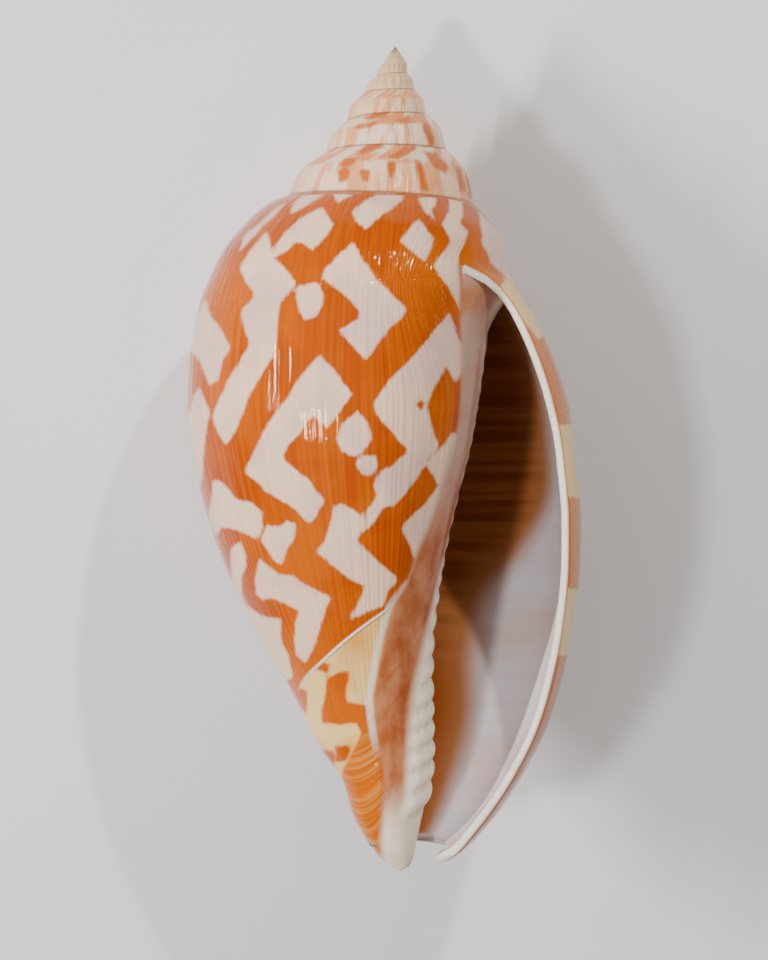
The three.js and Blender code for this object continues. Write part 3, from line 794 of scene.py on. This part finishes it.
def nearest_mark(pixels, marks, visible):
    """Signed distance in millimetres to the nearest mark's outline, negative inside it."""
    best = np.full(len(pixels), FAR)
    seen = pixels[visible]
    nearest = np.full(len(seen), FAR)
    for corners in marks.values():
        outline = np.array(corners, float)
        inside = np.zeros(len(seen), bool)
        distance = np.full(len(seen), FAR * PX_PER_MM)
        for start, end in zip(outline, np.roll(outline, -1, axis=0)):
            edge, offset = end - start, seen - start
            share = np.clip(offset @ edge / (edge @ edge), 0, 1)
            distance = np.minimum(distance, np.linalg.norm(offset - share[:, None] * edge, axis=1))
            crosses = (start[1] > seen[:, 1]) != (end[1] > seen[:, 1])
            if start[1] != end[1]:
                inside ^= crosses & (offset[:, 0] < edge[0] * offset[:, 1] / edge[1])
        nearest = np.minimum(nearest, np.where(inside, -distance, distance) / PX_PER_MM)
    best[visible] = nearest
    return best


def body_chart():
    """Station to the height, in radians, that keeps angles true on the coiled surface."""
    stations = np.linspace(CHART_FROM, LENGTH, CHART_STEPS)
    radius = np.maximum(body_radius(np.full(CHART_STEPS, CHART_TURN), stations), 3.0)
    heights = np.concatenate([[0], np.cumsum(np.diff(stations) / radius[:-1])])
    return lambda s: np.interp(s, stations, heights)


def rule_marks(turn, station, hidden):
    """Signed distance to the marks on the sides that the photograph doesn't show."""
    height = body_chart()(station)
    angle = np.radians(turn)
    along, across = (angle + height) / math.sqrt(2), (angle - height) / math.sqrt(2)
    radius = np.maximum(body_radius(turn, station), 2.0)
    draw = np.random.default_rng(BACK_SEED)
    best = np.full(len(turn), FAR)
    for i in BACK_COLUMNS:
        for j in BACK_ROWS:
            middle = np.array([i + 0.5 * (j % 2), j]) * BACK_PITCH
            middle = middle + draw.uniform(-BACK_JITTER, BACK_JITTER, 2)
            half = BACK_PITCH * draw.uniform(*BACK_HALF, 2)
            if draw.random() < BACK_LONG_SHARE:
                half[draw.integers(2)] *= BACK_LONG_FACTOR
            middle_turn = math.degrees((middle[0] + middle[1]) / math.sqrt(2))
            if not BACK_TURNS[0] < middle_turn < BACK_TURNS[1]:
                continue
            sides = np.maximum(np.abs(along - middle[0]) - half[0],
                               np.abs(across - middle[1]) - half[1]) * radius
            best = np.where(hidden, np.minimum(best, sides), best)
    return best


def shell_attributes(points, normals, kind, turn, station, nominal, level):
    """Values at each vertex that the finish reads."""
    aim, back, up, right = view_axes()
    eye = aim + back * VIEW_DISTANCE
    toward = eye - points
    toward /= np.linalg.norm(toward, axis=1)[:, None]
    facing = np.einsum("ij,ij->i", normals, toward)
    below = level > COVER_LEVEL
    behind = (kind == OUTER) & (nominal >= OPENING_TURN) & below
    outside = (kind == APEX) | (kind == OUTER) & ~behind
    body = outside & (nominal < SPIRE_TURNS[1])
    pixels = seen_at(points)
    white = nearest_mark(pixels, WHITE_MARKS, body & (facing > MARKED_FACING))
    hidden = body & (facing < HIDDEN_FACING) & (nominal > HIDDEN_TURNS[0])
    hidden &= nominal < HIDDEN_TURNS[1]
    white = np.minimum(white, rule_marks(turn, station, hidden))
    orange = nearest_mark(pixels, ORANGE_MARKS, outside & (facing > 0))
    spire = np.where(outside, smooth(*SPIRE_TURNS, turn), 0.0)
    radius = np.maximum(body_radius(turn, station), 1.0)
    arc = np.radians(1.0) * radius
    past_edge = (turn - callus_edge(station)) * arc
    callus = np.where((nominal < CALLUS_TURN) & below, past_edge, -FAR)
    ridge = np.where(nominal < BASE_END, station - growth_ridge(turn), -FAR)
    fasciole = np.where(nominal < BASE_END, station - fasciole_edge(turn), -FAR)
    ridge = np.where(turn < GROWTH_RIDGE[0][0], -FAR, ridge)
    fasciole = np.where(turn < FASCIOLE_EDGE[0][0], -FAR, fasciole)
    inner = np.where(kind == INNER, 1.0, 0.0)
    inside = np.where(behind, smooth(*INSIDE_FADE, turn), inner)
    rim_turn = np.where(kind > RIM, (kind - RIM) / (RIM_ROWS + 1), inner)
    at_suture = (kind == OUTER) & (np.abs(nominal - MEETING_TURN) < MEETING_WIDTH) & below
    at_suture &= level < CEILING_LEVEL
    rim_turn = np.where(at_suture, level - COVER_LEVEL, rim_turn)
    depth = np.where(nominal >= OPENING_TURN, turn - MEETING_TURN, 0.0)
    depth = np.where(kind == INNER, nominal - LIP_TURN, depth)
    margin = np.minimum(nominal - LIP_TURN, BEYOND)
    canal_rim = (kind > RIM) & (level >= NOTCH_LEVEL) & (nominal > CANAL_RIM_TURN)
    rim_turn = np.where(canal_rim, 1.0, rim_turn)
    depth = np.where(canal_rim, CANAL_DEPTH, depth)
    lobe = turn - tooth_start(station)
    lobe = np.where((kind == OUTER) & (nominal > LOBE_TURN), lobe, -BEYOND)
    return {
        "marks": np.stack([white, orange, station], axis=-1),
        "zone": np.stack([spire, callus, fasciole], axis=-1),
        "zone_inner": np.stack([inside, ridge, rim_turn], axis=-1),
        "depth": np.stack([depth, margin, turn], axis=-1),
        "lobe": np.stack([lobe, lobe, lobe], axis=-1),
    }


class Wire:
    """A shader socket that Python's operators can be used on."""

    def __init__(self, tree, socket):
        self.tree = tree
        self.socket = socket

    def math(self, operation, *values):
        return self.tree.node("ShaderNodeMath", {"operation": operation},
                              {0: self, **{i + 1: v for i, v in enumerate(values)}})

    def __add__(self, other):
        return self.math("ADD", other)

    __radd__ = __add__

    def __sub__(self, other):
        return self.math("SUBTRACT", other)

    def __rsub__(self, other):
        return (self * -1.0) + other

    def __mul__(self, other):
        return self.math("MULTIPLY", other)

    __rmul__ = __mul__

    def __truediv__(self, other):
        return self.math("DIVIDE", other)

    def __rtruediv__(self, other):
        return self.math("POWER", -1.0) * other

    def __neg__(self):
        return self * -1.0

    def __pow__(self, other):
        return self.math("POWER", other)

    def rise(self, start, end):
        """0 before start, 1 after end, smooth between; start may be the larger."""
        return self.tree.node("ShaderNodeMapRange", {"interpolation_type": "SMOOTHSTEP"},
                              {"Value": self, "From Min": start, "From Max": end})


class Tree:
    """Builds a material's nodes."""

    def __init__(self, name):
        self.material = bpy.data.materials.new(name)
        self.material.use_nodes = True
        self.nodes = self.material.node_tree.nodes
        self.links = self.material.node_tree.links
        self.nodes.clear()

    def node(self, kind, settings=None, inputs=None, output=0):
        made = self.nodes.new(kind)
        for name, value in (settings or {}).items():
            setattr(made, name, value)
        for key, value in (inputs or {}).items():
            self.connect(value, made.inputs[key])
        return Wire(self, made.outputs[output])

    def connect(self, value, socket):
        if isinstance(value, Wire):
            self.links.new(value.socket, socket)
        else:
            socket.default_value = value

    def vector(self, x, y, z):
        return self.node("ShaderNodeCombineXYZ", None, {0: x, 1: y, 2: z})

    def parts(self, vector):
        split = self.nodes.new("ShaderNodeSeparateXYZ")
        self.connect(vector, split.inputs[0])
        return [Wire(self, split.outputs[i]) for i in range(3)]

    def attribute(self, name):
        return self.parts(self.node("ShaderNodeAttribute", {"attribute_name": name}, None, 1))

    def blend(self, factor, a, b):
        """Colour a where factor is 0 and b where it is 1."""
        return self.node("ShaderNodeMix", {"data_type": "RGBA", "clamp_factor": True},
                         {0: factor, 6: a, 7: b}, 2)

    def noise(self, place, scale, detail=3.0, rough=0.5):
        return self.node("ShaderNodeTexNoise", None,
                         {"Vector": place, "Scale": scale, "Detail": detail, "Roughness": rough})

    def finish(self, **inputs):
        shader = self.nodes.new("ShaderNodeBsdfPrincipled")
        for name, value in inputs.items():
            self.connect(value, shader.inputs[name.replace("_", " ")])
        out = self.nodes.new("ShaderNodeOutputMaterial")
        self.links.new(shader.outputs[0], out.inputs[0])
        return self.material


def tone(red, green, blue):
    """A colour given in 0 to 255 steps, as a shader takes it."""
    def linear(value):
        value /= 255
        return value / 12.92 if value <= 0.04045 else ((value + 0.055) / 1.055) ** 2.4
    return (linear(red), linear(green), linear(blue), 1.0)


def porcelain(colours):
    """The glossy, patterned finish of the shell, inside and out."""
    tree = Tree("shell glaze")
    place_xyz = tree.node("ShaderNodeTexCoord", None, None, 3)
    coil = tree.node("ShaderNodeUVMap", {"uv_map": "coil"})
    growth, level, _ = tree.parts(coil)
    white_edge, orange_edge, station = tree.attribute("marks")
    spire, callus, fasciole = tree.attribute("zone")
    inside, ridge, rim = tree.attribute("zone_inner")
    depth, margin, turn = tree.attribute("depth")
    lobe = tree.attribute("lobe")[0]

    # Edges of the marks waver a little, as the glaze was laid down line by line
    waver = (tree.noise(place_xyz, 600.0, 2.0) - 0.5) * 0.4
    streak = (tree.noise(tree.vector(growth * 300.0, level * 4.0, 0.0), 1.0, 2.0) - 0.5) * 0.4
    wobble = waver + streak - 0.06
    white = (white_edge + wobble).rise(0.22, -0.22)
    over = (orange_edge + wobble).rise(0.22, -0.22)
    white = white * (1.0 - over)

    broad = tree.noise(place_xyz, 90.0, 3.0)
    lines = tree.noise(tree.vector(growth * 260.0, level * 1.5, 0.0), 1.0, 3.0)
    ribs = tree.noise(tree.vector(growth * 210.0, level * 5.0, 7.0), 1.0, 0.0)
    orange = tree.blend(broad.rise(0.35, 0.65), colours["orange"], colours["deep"])
    orange = tree.blend((lines - 0.42) * 1.2, orange, colours["light"])
    pale = tree.blend(tree.noise(place_xyz, 140.0, 2.0).rise(0.4, 0.68), colours["white"],
                      colours["lavender"])
    scratches = tree.noise(tree.vector(station * 2.6 + turn * 0.8, station * 0.2, 4.0), 1.0, 3.0)
    pale = tree.blend((lines - 0.45) * 1.6, pale, colours["peach"])
    pale = tree.blend((scratches - 0.5) * 1.5, pale, colours["peach"])
    pale = tree.blend(margin.rise(28.0, 10.0), pale, colours["cream"])
    # Towards the lip the orange turns lighter: partly the lip band's own brighter orange and partly
    # painted light on the band
    ground = tree.blend(margin.rise(40.0, 12.0) * 0.7, orange, colours["light"])
    body = tree.blend(white, ground, pale)

    # Spire: diagonal flames on the ramps, soft upright stripes on the sides, cream at the top
    ramp = level.rise(0.52, 0.42)
    flame = tree.noise(tree.vector(growth * 26.0 + level * 3.2, level * 1.2, 3.0), 1.0, 1.0)
    stripe = tree.noise(tree.vector(growth * 38.0, level * 0.7, 9.0), 1.0, 2.0)
    flames = flame.rise(0.44, 0.54) * ramp * 0.8
    stripes = stripe.rise(0.45, 0.62) * (1.0 - ramp) * 0.6
    young = turn.rise(2000.0, 1200.0)
    spire_ground = tree.blend(broad.rise(0.4, 0.62) * 0.4, colours["spire"], colours["straw"])
    spire_tone = tree.blend((flames + stripes) * young, spire_ground, colours["flame"])
    spire_tone = tree.blend(over * 0.9, spire_tone, colours["orange"])
    spire_tone = tree.blend(turn.rise(1300.0, 2000.0) * 0.8, spire_tone, colours["apex"])
    seam = level.rise(0.06, 0.0) + level.rise(0.96, 1.0)
    spire_tone = tree.blend(seam * 0.75, spire_tone, colours["seam"])
    outer = tree.blend(spire, body, spire_tone)

    # Below the growth ridge the ground turns cream, and the fasciole is orange
    old = tree.blend(broad.rise(0.42, 0.6), colours["cream"], colours["straw"])
    old = tree.blend(over, old, orange)
    outer = tree.blend(ridge.rise(-0.15, 0.15), outer, old)
    # A pale line along the crest of the growth ridge: partly its own pale colour and partly a painted
    # highlight on the crest
    crest = ridge.math("ABSOLUTE").rise(0.3, 0.08) * callus.rise(0.2, -0.8) * station.rise(71.0, 66.0)
    outer = tree.blend(crest * 0.85, outer, colours["rim"])
    sag = (turn - 225.0) * (turn - 225.0) * 0.0009
    arcs = tree.noise(tree.vector((station + sag) * 2.4, turn * 0.006, 2.0), 1.0, 3.0)
    canal = tree.blend(arcs.rise(0.42, 0.64) * 0.45, colours["fasciole"], colours["straw"])
    outer = tree.blend(fasciole.rise(-0.2, 0.5), outer, canal)

    # The callus of the inner lip, pale above and pinkish brown beside the columella
    slant = station + turn * 0.15
    flesh = tree.noise(tree.vector(slant * 1.2, station * 0.15, 5.0), 1.0, 3.0)
    mottle = tree.noise(tree.vector(turn * 0.07, station * 0.3, 6.0), 1.0, 2.0)
    low_callus = tree.blend(mottle.rise(0.3, 0.7) * 0.8, colours["callus"], colours["rust"])
    low_callus = tree.blend(flesh.rise(0.5, 0.72) * 0.35, low_callus, colours["rust"])
    blush = tree.noise(tree.vector(station * 0.16, turn * 0.02, 8.0), 1.0, 2.0)
    high_callus = tree.blend(blush.rise(0.4, 0.66), colours["parietal"], colours["callus"])
    callus_tone = tree.blend(station.rise(44.0, 57.0), high_callus, low_callus)
    callus_tone = tree.blend(lobe.rise(2.0, 18.0), callus_tone, colours["tooth"])
    callus_tone = tree.blend(station.rise(80.0, 86.0), callus_tone, colours["tooth"])
    outer = tree.blend(callus.rise(-0.4, 0.8), outer, callus_tone)
    fold = callus.rise(-0.7, -0.2) * callus.rise(0.5, 0.0) * station.rise(58.0, 62.0)
    outer = tree.blend(fold * station.rise(78.0, 74.0) * 0.7, outer, colours["rim"])
    outer = tree.blend(station.rise(87.6, 88.8), outer, colours["tooth"])

    # Inside: pale and cool near the lip, dark brown deep in the throat, where the brown is partly the
    # shell's own tone and partly painted shade of the deep hollow
    lirae = tree.noise(tree.vector(growth * 3.0, station * 0.9, 1.0), 1.0, 2.0)
    # Deep-throat colours: their darkness is partly the shell's own brown and partly painted shade of
    # the hollow
    dark = tree.blend(lirae.rise(0.4, 0.62), colours["throat_tone_and_shade"], colours["brown"])
    lower_throat = tree.blend(lirae.rise(0.42, 0.6) * 0.5, colours["ochre"], colours["throat_tone_and_shade"])
    throat_tone_and_shade = tree.blend(station.rise(58.0, 74.0), dark, lower_throat)
    sheen = tree.blend(blush.rise(0.45, 0.7) * 0.45, colours["nacre"], colours["pink"])
    # How deep the pale colour reaches, by station, before the tan and the painted shade of the throat
    # take over
    pale_reach = station.rise(46.0, 63.0) * 30.0 + station.rise(76.0, 66.0) * 12.0 + 22.0
    pale_reach = pale_reach + station.rise(66.0, 76.0) * 5.0
    sheen = tree.blend(lirae.rise(0.45, 0.6) * 0.06, sheen, colours["tan"])
    within = tree.blend((depth - pale_reach).rise(-2.0, 15.0), sheen, colours["tan"])
    within = tree.blend((depth - pale_reach).rise(5.0, 30.0), within, throat_tone_and_shade)
    brush = tree.noise(tree.vector(station * 4.0, depth * 0.05, 12.0), 1.0, 1.0).rise(0.4, 0.6)
    brush = brush * station.rise(75.0, 82.0) * depth.rise(34.0, 10.0)
    within = tree.blend(brush * 0.5, within, colours["straw"])
    colour = tree.blend(inside, outer, within)
    beads = (station * 6.6).math("SINE")
    colour = tree.blend(rim.rise(0.05, 0.3), colour, colours["rim"])
    colour = tree.blend(rim.rise(0.85, 1.0), colour, within)

    folds = (growth * 113.0).math("SINE") * spire * level.rise(0.3, 0.5) * level.rise(0.95, 0.6)
    grown = (1.0 - inside) * callus.rise(0.6, -0.6) * station.rise(80.0, 70.0)
    height = (ribs * RIB_RELIEF + scratches * SCRATCH_RELIEF) * grown + broad * SWELL_RELIEF
    height = height + crest * RIDGE_RELIEF
    fasciole_side = fasciole.rise(-0.2, 0.5) * callus.rise(0.4, -0.4)
    height = height + arcs * fasciole_side * FASCIOLE_RELIEF
    height = height + flesh * callus.rise(0.0, 1.0) * station.rise(78.0, 70.0) * CALLUS_RELIEF
    height = height + folds * turn.rise(500.0, 900.0) * FOLD_RELIEF
    height = height + beads * rim.rise(0.5, 0.7) * rim.rise(1.0, 0.9) * BEAD_RELIEF
    bump = tree.node("ShaderNodeBump", None,
                     {"Strength": 1.0, "Distance": MM, "Height": height})
    roughness = lines * 0.03 + 0.02
    return tree.finish(Base_Color=colour, Roughness=roughness, Normal=bump, IOR=GLAZE_IOR,
                       Specular_Tint=colours["glint"])


def plain(name, colour, roughness):
    tree = Tree(name)
    spot = tree.noise(tree.node("ShaderNodeTexCoord", None, None, 3), 40.0, 2.0)
    return tree.finish(Base_Color=tree.blend(spot * 0.06, colour, (0.74, 0.74, 0.74, 1.0)),
                       Roughness=roughness)


class ShellSettings(bpy.types.PropertyGroup):
    columns: bpy.props.IntProperty(
        name="Columns", description="Columns of faces in one turn of the coil", default=240, min=36)
    orange: bpy.props.FloatVectorProperty(
        name="Orange", description="Main colour of the pattern", subtype="COLOR", size=4,
        default=(0.55, 0.1, 0.0, 1.0), min=0, max=1)
    white: bpy.props.FloatVectorProperty(
        name="White", description="Ground of the marks", subtype="COLOR", size=4,
        default=tone(241, 206, 176), min=0, max=1)


class StageSettings(bpy.types.PropertyGroup):
    floor_size: bpy.props.FloatProperty(
        name="Floor", description="Width of the floor", default=1.6, unit="LENGTH")
    key_power: bpy.props.FloatProperty(
        name="Key light", description="Power of the main light", default=2.8, unit="POWER")


class SHELL_OT_grow(bpy.types.Operator):
    """Grow the shell along its coil and glaze it"""
    bl_idname = "shell.grow"
    bl_label = "Grow the shell"

    def execute(self, context):
        settings = context.scene.shell_settings
        surface = ShellSurface(settings.columns)
        surface.build()
        points, kind, turn, station, nominal, level = surface.solve()
        points = laid_down(points)
        flat_faces = [tuple(face) for face in surface.faces]
        mesh = bpy.data.meshes.new("shell surface")
        mesh.from_pydata(points.tolist(), [], flat_faces)
        normals = np.zeros(len(points) * 3)
        mesh.vertex_normals.foreach_get("vector", normals)
        normals = normals.reshape(-1, 3)
        vectors = shell_attributes(points, normals, kind, turn, station, nominal, level)
        move = self.shift(points)
        set_down = points * MM + move
        set_down[:, 2] = np.maximum(set_down[:, 2], 0.0)
        mesh.vertices.foreach_set("co", set_down.astype(np.float32).ravel())
        for name, values in vectors.items():
            layer = mesh.attributes.new(name, "FLOAT_VECTOR", "POINT")
            layer.data.foreach_set("vector", values.astype(np.float32).ravel())
        uv = mesh.uv_layers.new(name="coil")
        corners = np.stack([np.array(surface.corner_turns) / 360,
                            np.array(surface.corner_levels)], axis=-1)
        uv.data.foreach_set("uv", corners.astype(np.float32).ravel())
        mesh.polygons.foreach_set("use_smooth", [True] * len(mesh.polygons))
        mesh.update()
        colours = dict(PALETTE, orange=tuple(settings.orange), white=tuple(settings.white))
        mesh.materials.append(porcelain(colours))
        piece = bpy.data.objects.new("shell_surface", mesh)
        context.scene["set_down"] = move.tolist()
        context.scene.collection.objects.link(piece)
        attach(piece, "root")
        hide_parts("shell")
        return {"FINISHED"}

    def shift(self, points):
        """The move, in metres, that sets the surface where the solid model stands."""
        low, high = (np.array(corner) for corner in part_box("shell"))
        mine_low, mine_high = points.min(axis=0) * MM, points.max(axis=0) * MM
        move = (low + high) / 2 - (mine_low + mine_high) / 2
        move[2] = high[2] - mine_high[2]
        return move


PALETTE = {
    "deep": (0.42, 0.055, 0.0, 1.0),
    "light": (0.66, 0.17, 0.003, 1.0),
    "lavender": tone(222, 186, 176),
    "peach": tone(232, 176, 124),
    "spire": tone(246, 214, 184),
    "flame": tone(224, 118, 14),
    "seam": tone(120, 62, 24),
    "cream": tone(242, 202, 130),
    "straw": tone(228, 160, 74),
    "apex": tone(226, 192, 142),
    "glint": (1.0, 0.72, 0.42, 1.0),
    "fasciole": (0.54, 0.11, 0.0, 1.0),
    "callus": tone(192, 124, 84),
    "rust": tone(158, 72, 22),
    "parietal": tone(196, 160, 142),
    "tooth": tone(242, 226, 202),
    "nacre": tone(230, 223, 226),
    "pink": tone(224, 190, 176),
    "tan": tone(178, 118, 72),
    # The throat, brown and ochre colours darken the hollow: partly its own tone and partly painted
    # shade
    "throat_tone_and_shade": tone(132, 70, 34),
    "brown": tone(160, 94, 52),
    "ochre": tone(142, 64, 12),
    "rim": tone(244, 232, 216),
}

# Place in metres, share of the key light's power, and width and height of each lamp
LAMPS = {
    "spot from the apex": ((0.15, 0.36, 0.33), 0.55, (0.014, 0.014)),
    "left strip": ((-0.38, 0.06, 0.30), 0.8, (0.16, 0.004)),
    "right strip": ((0.40, 0.10, 0.12), 0.04, (0.26, 0.006)),
    "near overhead": ((-0.22, -0.06, 0.50), 0.45, (0.05, 0.05)),
    "soft overhead": ((-0.12, 0.0, 0.60), 0.45, (0.8, 0.8)),
}
WORLD_STRENGTH = 0.04


class SHELL_OT_stage(bpy.types.Operator):
    """Lay the floor, hang the lights and place the camera"""
    bl_idname = "shell.stage"
    bl_label = "Set the stage"

    def execute(self, context):
        settings = context.scene.stage_settings
        self.floor(settings.floor_size)
        self.lights(settings.key_power)
        self.camera(context)
        return {"FINISHED"}

    def floor(self, size):
        half = size / 2
        mesh = bpy.data.meshes.new("floor")
        mesh.from_pydata([(-half, -half, 0), (half, -half, 0), (half, half, 0), (-half, half, 0)],
                         [], [(0, 1, 2, 3)])
        mesh.materials.append(plain("pale floor", (0.8, 0.79, 0.78, 1.0), 0.85))
        floor = bpy.data.objects.new("floor", mesh)
        bpy.context.scene.collection.objects.link(floor)

    def lamp(self, name, at, power, size):
        light = bpy.data.lights.new(name, "AREA")
        light.energy = power
        light.shape = "RECTANGLE"
        light.size, light.size_y = size
        lamp = bpy.data.objects.new(name, light)
        lamp.location = at
        lamp.rotation_euler = (Vector((0, 0, 0.02)) - Vector(at)).to_track_quat("-Z", "Y").to_euler()
        bpy.context.scene.collection.objects.link(lamp)

    def lights(self, key_power):
        for name, (at, share, size) in LAMPS.items():
            self.lamp(name, at, key_power * share, size)
        world = bpy.data.worlds.new("soft room")
        world.use_nodes = True
        world.node_tree.nodes["Background"].inputs[0].default_value = (1, 1, 1, 1)
        world.node_tree.nodes["Background"].inputs[1].default_value = WORLD_STRENGTH
        bpy.context.scene.world = world

    def camera(self, context):
        aim, back, up, right = (Vector(v) for v in view_axes())
        move = Vector(context.scene["set_down"])
        data = bpy.data.cameras.new("view")
        data.sensor_width = 36.0
        covered = FRAME_HEIGHT_PX / PX_PER_MM
        data.lens = data.sensor_width * VIEW_DISTANCE / covered
        data.clip_start, data.clip_end = 0.01, 10.0
        camera = bpy.data.objects.new("view", data)
        rotation = Matrix((right, up, back)).transposed().to_4x4()
        camera.matrix_world = Matrix.Translation((aim + back * VIEW_DISTANCE) * MM + move) @ rotation
        context.scene.collection.objects.link(camera)
        context.scene.camera = camera


class SHELL_PT_panel(bpy.types.Panel):
    """Shows the shell's and the stage's settings, with buttons to grow the shell and set the stage"""
    bl_label = "Volute shell"
    bl_space_type = "VIEW_3D"
    bl_region_type = "UI"
    bl_category = "Shell"

    def draw(self, context):
        layout = self.layout
        layout.prop(context.scene.shell_settings, "columns")
        layout.prop(context.scene.shell_settings, "orange")
        layout.prop(context.scene.shell_settings, "white")
        layout.operator("shell.grow")
        layout.prop(context.scene.stage_settings, "floor_size")
        layout.prop(context.scene.stage_settings, "key_power")
        layout.operator("shell.stage")


CLASSES = (ShellSettings, StageSettings, SHELL_OT_grow, SHELL_OT_stage, SHELL_PT_panel)


def register():
    for cls in CLASSES:
        bpy.utils.register_class(cls)
    bpy.types.Scene.shell_settings = bpy.props.PointerProperty(type=ShellSettings)
    bpy.types.Scene.stage_settings = bpy.props.PointerProperty(type=StageSettings)


def unregister():
    del bpy.types.Scene.shell_settings
    del bpy.types.Scene.stage_settings
    for cls in reversed(CLASSES):
        bpy.utils.unregister_class(cls)


def main():
    register()
    bpy.ops.shell.grow()
    bpy.ops.shell.stage()


if __name__ == "__main__":
    main()
